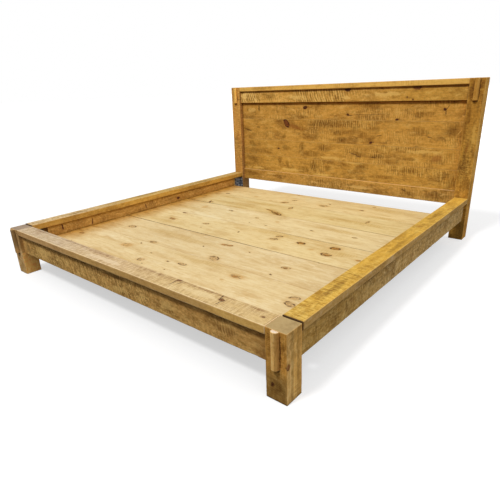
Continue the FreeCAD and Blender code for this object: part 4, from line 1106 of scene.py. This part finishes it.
DECK = dict(early=(231, 207, 155), late=(206, 170, 108), shade=(0.80, 0.70, 0.55), pale=(241, 223, 180),
            ring=0.38, ring_mm=6.0, fibre=0.18, blotch=0.62, cloud=0.42, cloud_mm=(80, 28), chatter=0.0, fleck=0.04,
            streak=0.26, blotch_mm=(300, 110), knot=(188, 124, 38), knot_dark=(86, 55, 12), halo=0.42, knot_mix=0.82, light=0.32,
            rim=0.95, soft=(0.80, 0.70, 0.50), end=(214, 178, 122), arris=(178, 136, 82), arris_mix=0.45, grime=0.0,
            rough=0.46, spec=0.35, bump=0.22, crack=(92, 58, 26), mottle=0.14, warp=0.017)
deck_tone = {1: (1.0, 1.0, 1.0), 2: (1.01, 1.02, 1.03), 3: (0.99, 0.995, 1.01), 4: (1.03, 1.04, 0.99),
             5: (1.05, 1.09, 1.12), 6: (1.01, 1.03, 0.94), 7: (1.09, 1.12, 1.08)}
deck_soft = [(-500, 400, 330, 34, 0, "s"), (520, 455, 300, 34, 0, "s"), (650, 640, 220, 22, 0, "s"), (-400, 580, 420, 18, 0, "p"),
             (400, 590, 420, 14, 0, "p"), (-430, 330, 120, 16, 0, "s"), (-60, 352, 150, 44, -26, "s"), (660, -120, 90, 60, 0, "s"),
             (-700, 560, 120, 40, 0, "s"), (-300, 520, 200, 26, 0, "s"), (300, 620, 160, 40, 0, "p"), (-820, 300, 140, 40, 0, "s"),
             (-60, 372, 110, 26, -20, "s"), (-300, 250, 240, 30, 0, "p"), (-760, 120, 200, 40, 0, "s"), (500, 230, 240, 30, 0, "s"),
             (-500, 0, 260, 60, 0, "p"), (-640, -230, 240, 40, 0, "s"), (260, -30, 260, 50, 0, "s"), (700, -120, 160, 50, 0, "s"),
             (-300, -420, 320, 50, 0, "s"), (500, -330, 200, 60, 0, "p"), (-700, -650, 240, 60, 0, "p"), (200, -640, 280, 40, 0, "s"),
             (-300, -900, 300, 60, 0, "s"), (640, -900, 240, 60, 0, "p"), (600, 830, 220, 40, 0, "s"), (-100, 830, 200, 40, 0, "p")]


def deck_wall_shade_and_smears(t, col, ax, sh):
    """orange darkening along the left wall, painted shade and bounce light from the stained wall, with darker smears"""
    n = t.math("SUBTRACT", t.noise(sh, (2.6, 7, 7), 4.0, 0.6), 0.5)
    world_x = t.math("MULTIPLY_ADD", n, 0.24, ax["x"])
    col = t.mix(t.remap(world_x, -0.73, -1.02), col, (0.63, 0.41, 0.105, 1), "MULTIPLY")
    smear = t.mul(t.remap(t.noise(sh, (8, 26, 26), 5.0, 0.7), 0.48, 0.64), t.remap(world_x, -0.78, -0.96))
    return t.mix(t.mul(smear, 0.8), col, (0.56, 0.42, 0.22, 1), "MULTIPLY")


# how dark the line between board j and the next is, along x
deck_lines = {
    2: ((-972, 0.20), (0, 0.28), (972, 0.20)),
    3: ((-972, 1.0), (-500, 1.0), (0, 0.90), (300, 0.80), (520, 0.52), (972, 0.46)),
    4: ((-972, 0.10), (60, 0.14), (150, 0.36), (260, 0.85), (860, 0.78), (972, 0.44)),
    5: ((-972, 1.0), (-700, 1.0), (-600, 0.70), (-480, 0.12), (340, 0.12), (480, 0.55), (972, 0.58)),
}
deck_pith = [(20, -60), (-25, -90), (30, -70), (-10, -110), (15, -65), (-30, -95), (25, -75)]
body_of = {1: "deck_panel_foot", 2: "deck_panel_foot", 3: "deck_panel_foot", 4: "deck_panel_middle",
           5: "deck_panel_middle", 6: "deck_panel_head", 7: "deck_panel_head"}
for i in range(1, 8):
    nm = "deck_board_%d" % i
    b = nbox(nm)
    kn = [q for q in deck_knots if b[2] - 6 < q[1] < b[3] + 6]
    soft = [q for q in deck_soft if b[2] - 20 < q[1] < b[3] + 20]
    mat = wood("pine_" + nm, "x", "y", mid(b), 70 + i, kn + soft, pith=deck_pith[i - 1], tint=deck_wall_shade_and_smears,
               sides=[("z", deck_tone[i])], **DECK)
    open_lo, open_hi = i in (1, 4, 6), i in (3, 5, 7)
    ylo, yhi = b[2] * MM, b[3] * MM

    def ease_at(P, open_lo=open_lo, open_hi=open_hi, ylo=ylo, yhi=yhi):
        f = np.ones(len(P))
        if not open_lo:
            f = np.where(P[:, 1] < (ylo + yhi) / 2, 0.35, f)
        if not open_hi:
            f = np.where(P[:, 1] > (ylo + yhi) / 2, 0.35, f)
        return f

    seams = [(y, 2.1) + deck_lines[j] for y, j in ((b[2], i - 1), (b[3], i)) if j in deck_lines]
    timber("planed_" + nm, [nm], body_of[i], b, "x", "y", mat, 70 + i, step=0.011, ease=0.0013,
           wear=0.3, relief=0.35, saw=0.0, knots=kn, ease_at=ease_at, dents=4, seams=seams)

# ---- hidden framing keeps its CAD shape
FRAMING = dict(early=(228, 196, 140), late=(194, 152, 92), shade=(0.75, 0.66, 0.56), pale=(236, 210, 164), attrs=False,
               chatter=0.4, chatter_mm=8.0, fleck=0.25)
for n, (nm, g, a) in enumerate([
    ("footboard_cleat", "x", "z"), ("side_rail_cleat_left", "y", "z"), ("side_rail_cleat_right", "y", "z"),
    ("centre_beam", "y", "z"), ("head_cross_rail", "x", "z"), ("centre_leg_foot", "z", "y"),
    ("centre_leg_middle", "z", "y"), ("centre_leg_head", "z", "y"),
]):
    b = nbox(nm)
    kn = [(mid(b)[AXIS[g]] + 210 * (1 if n % 2 else -1) * (0.2 if g == "z" else 1), mid(b)[AXIS[a]] + 6, 12, 8, 0, "r")]
    mat = wood("pine_" + nm, g, a, mid(b), 90 + n, kn, **FRAMING)
    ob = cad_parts[nm]
    ob.data.materials.clear()
    ob.data.materials.append(mat)


# ------------------------------------------------------------------ metal and plastic
def steel(name, base, worn, rough, scratch, metallic=1.0):
    t = Tree(name)
    co = t.node("ShaderNodeTexCoord").outputs["Object"]
    n1 = t.noise(co, (60, 60, 60), 5.0, 0.65)
    n2 = t.noise(co, (900, 900, 60), 3.0, 0.6)
    n3 = t.noise(co, (22, 22, 22), 4.0, 0.6)
    col = t.mix(t.remap(n1, 0.42, 0.68), lin(*base), lin(*worn))
    col = t.mix(t.mul(t.remap(n2, 0.6, 0.72), scratch), col, lin(196, 198, 202))
    r = t.remap(n3, 0.3, 0.7, rough - 0.10, rough + 0.14, False)
    h = t.add(t.mul(n1, 0.6), t.mul(n2, 0.4))
    return t.finish(col, r, t.bump(h, 0.00025, 0.5), metallic=metallic, specular=0.5)


black_steel = steel("black_steel", (52, 54, 58), (86, 90, 96), 0.42, 0.35)
# the same bracket steel made paler for the lit head brackets, painted light
grey_steel = steel("grey_steel", (98, 106, 116), (190, 196, 204), 0.34, 0.6, 0.35)
zinc = steel("zinc_steel", (190, 194, 200), (222, 224, 226), 0.30, 0.25, 0.35)
zinc_angle = steel("zinc_angle", (160, 164, 168), (190, 192, 194), 0.40, 0.25)

gt = Tree("glide")
gco = gt.node("ShaderNodeTexCoord").outputs["Object"]
_, _, gz = gt.sep(gco)
up = gt.remap(gz, 0.0079, 0.0083, 0, 1, False)
gn = gt.noise(gco, (420, 420, 420), 3.0)
thread = gt.math("MULTIPLY_ADD", gt.math("SINE", gt.mul(gz, TAU / 0.0015)), 0.5, 0.5)
th_on = gt.remap(gz, 0.0122, 0.0126, 0, 1, False)
pl = gt.mix(gn, lin(24, 24, 26), lin(46, 46, 48))
mt = gt.mix(gn, lin(172, 176, 180), lin(208, 210, 212))
glide_mat = gt.finish(gt.mix(up, pl, mt), gt.remap(gn, 0.3, 0.7, 0.36, 0.5, False),
                      gt.bump(gt.add(gt.mul(gn, 0.2), gt.mul(thread, th_on)), 0.0006, 0.8), metallic=up, specular=0.5)


def dress(nodes, mat, bevel=None):
    for nm in nodes:
        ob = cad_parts[nm]
        ob.data.materials.clear()
        ob.data.materials.append(mat)
        if bevel:
            md = ob.modifiers.new("arris", "BEVEL")
            md.width, md.segments, md.limit_method, md.angle_limit = bevel * MM, 2, "ANGLE", math.radians(35)


dress(["rail_bracket_foot_left", "rail_bracket_foot_right"], black_steel, 0.5)
dress(["rail_bracket_head_left", "rail_bracket_head_right"], grey_steel, 0.5)
dress(["rail_bracket_bolts", "centre_leg_bolts"], zinc, 0.35)
dress(["batten_screws", "cleat_screws", "leg_inserts"], zinc)
dress(["beam_bracket_foot", "beam_bracket_head", "cross_rail_bracket_left", "cross_rail_bracket_right"], zinc_angle, 0.4)
dress(["levelling_foot_foot", "levelling_foot_middle", "levelling_foot_head"], glide_mat)
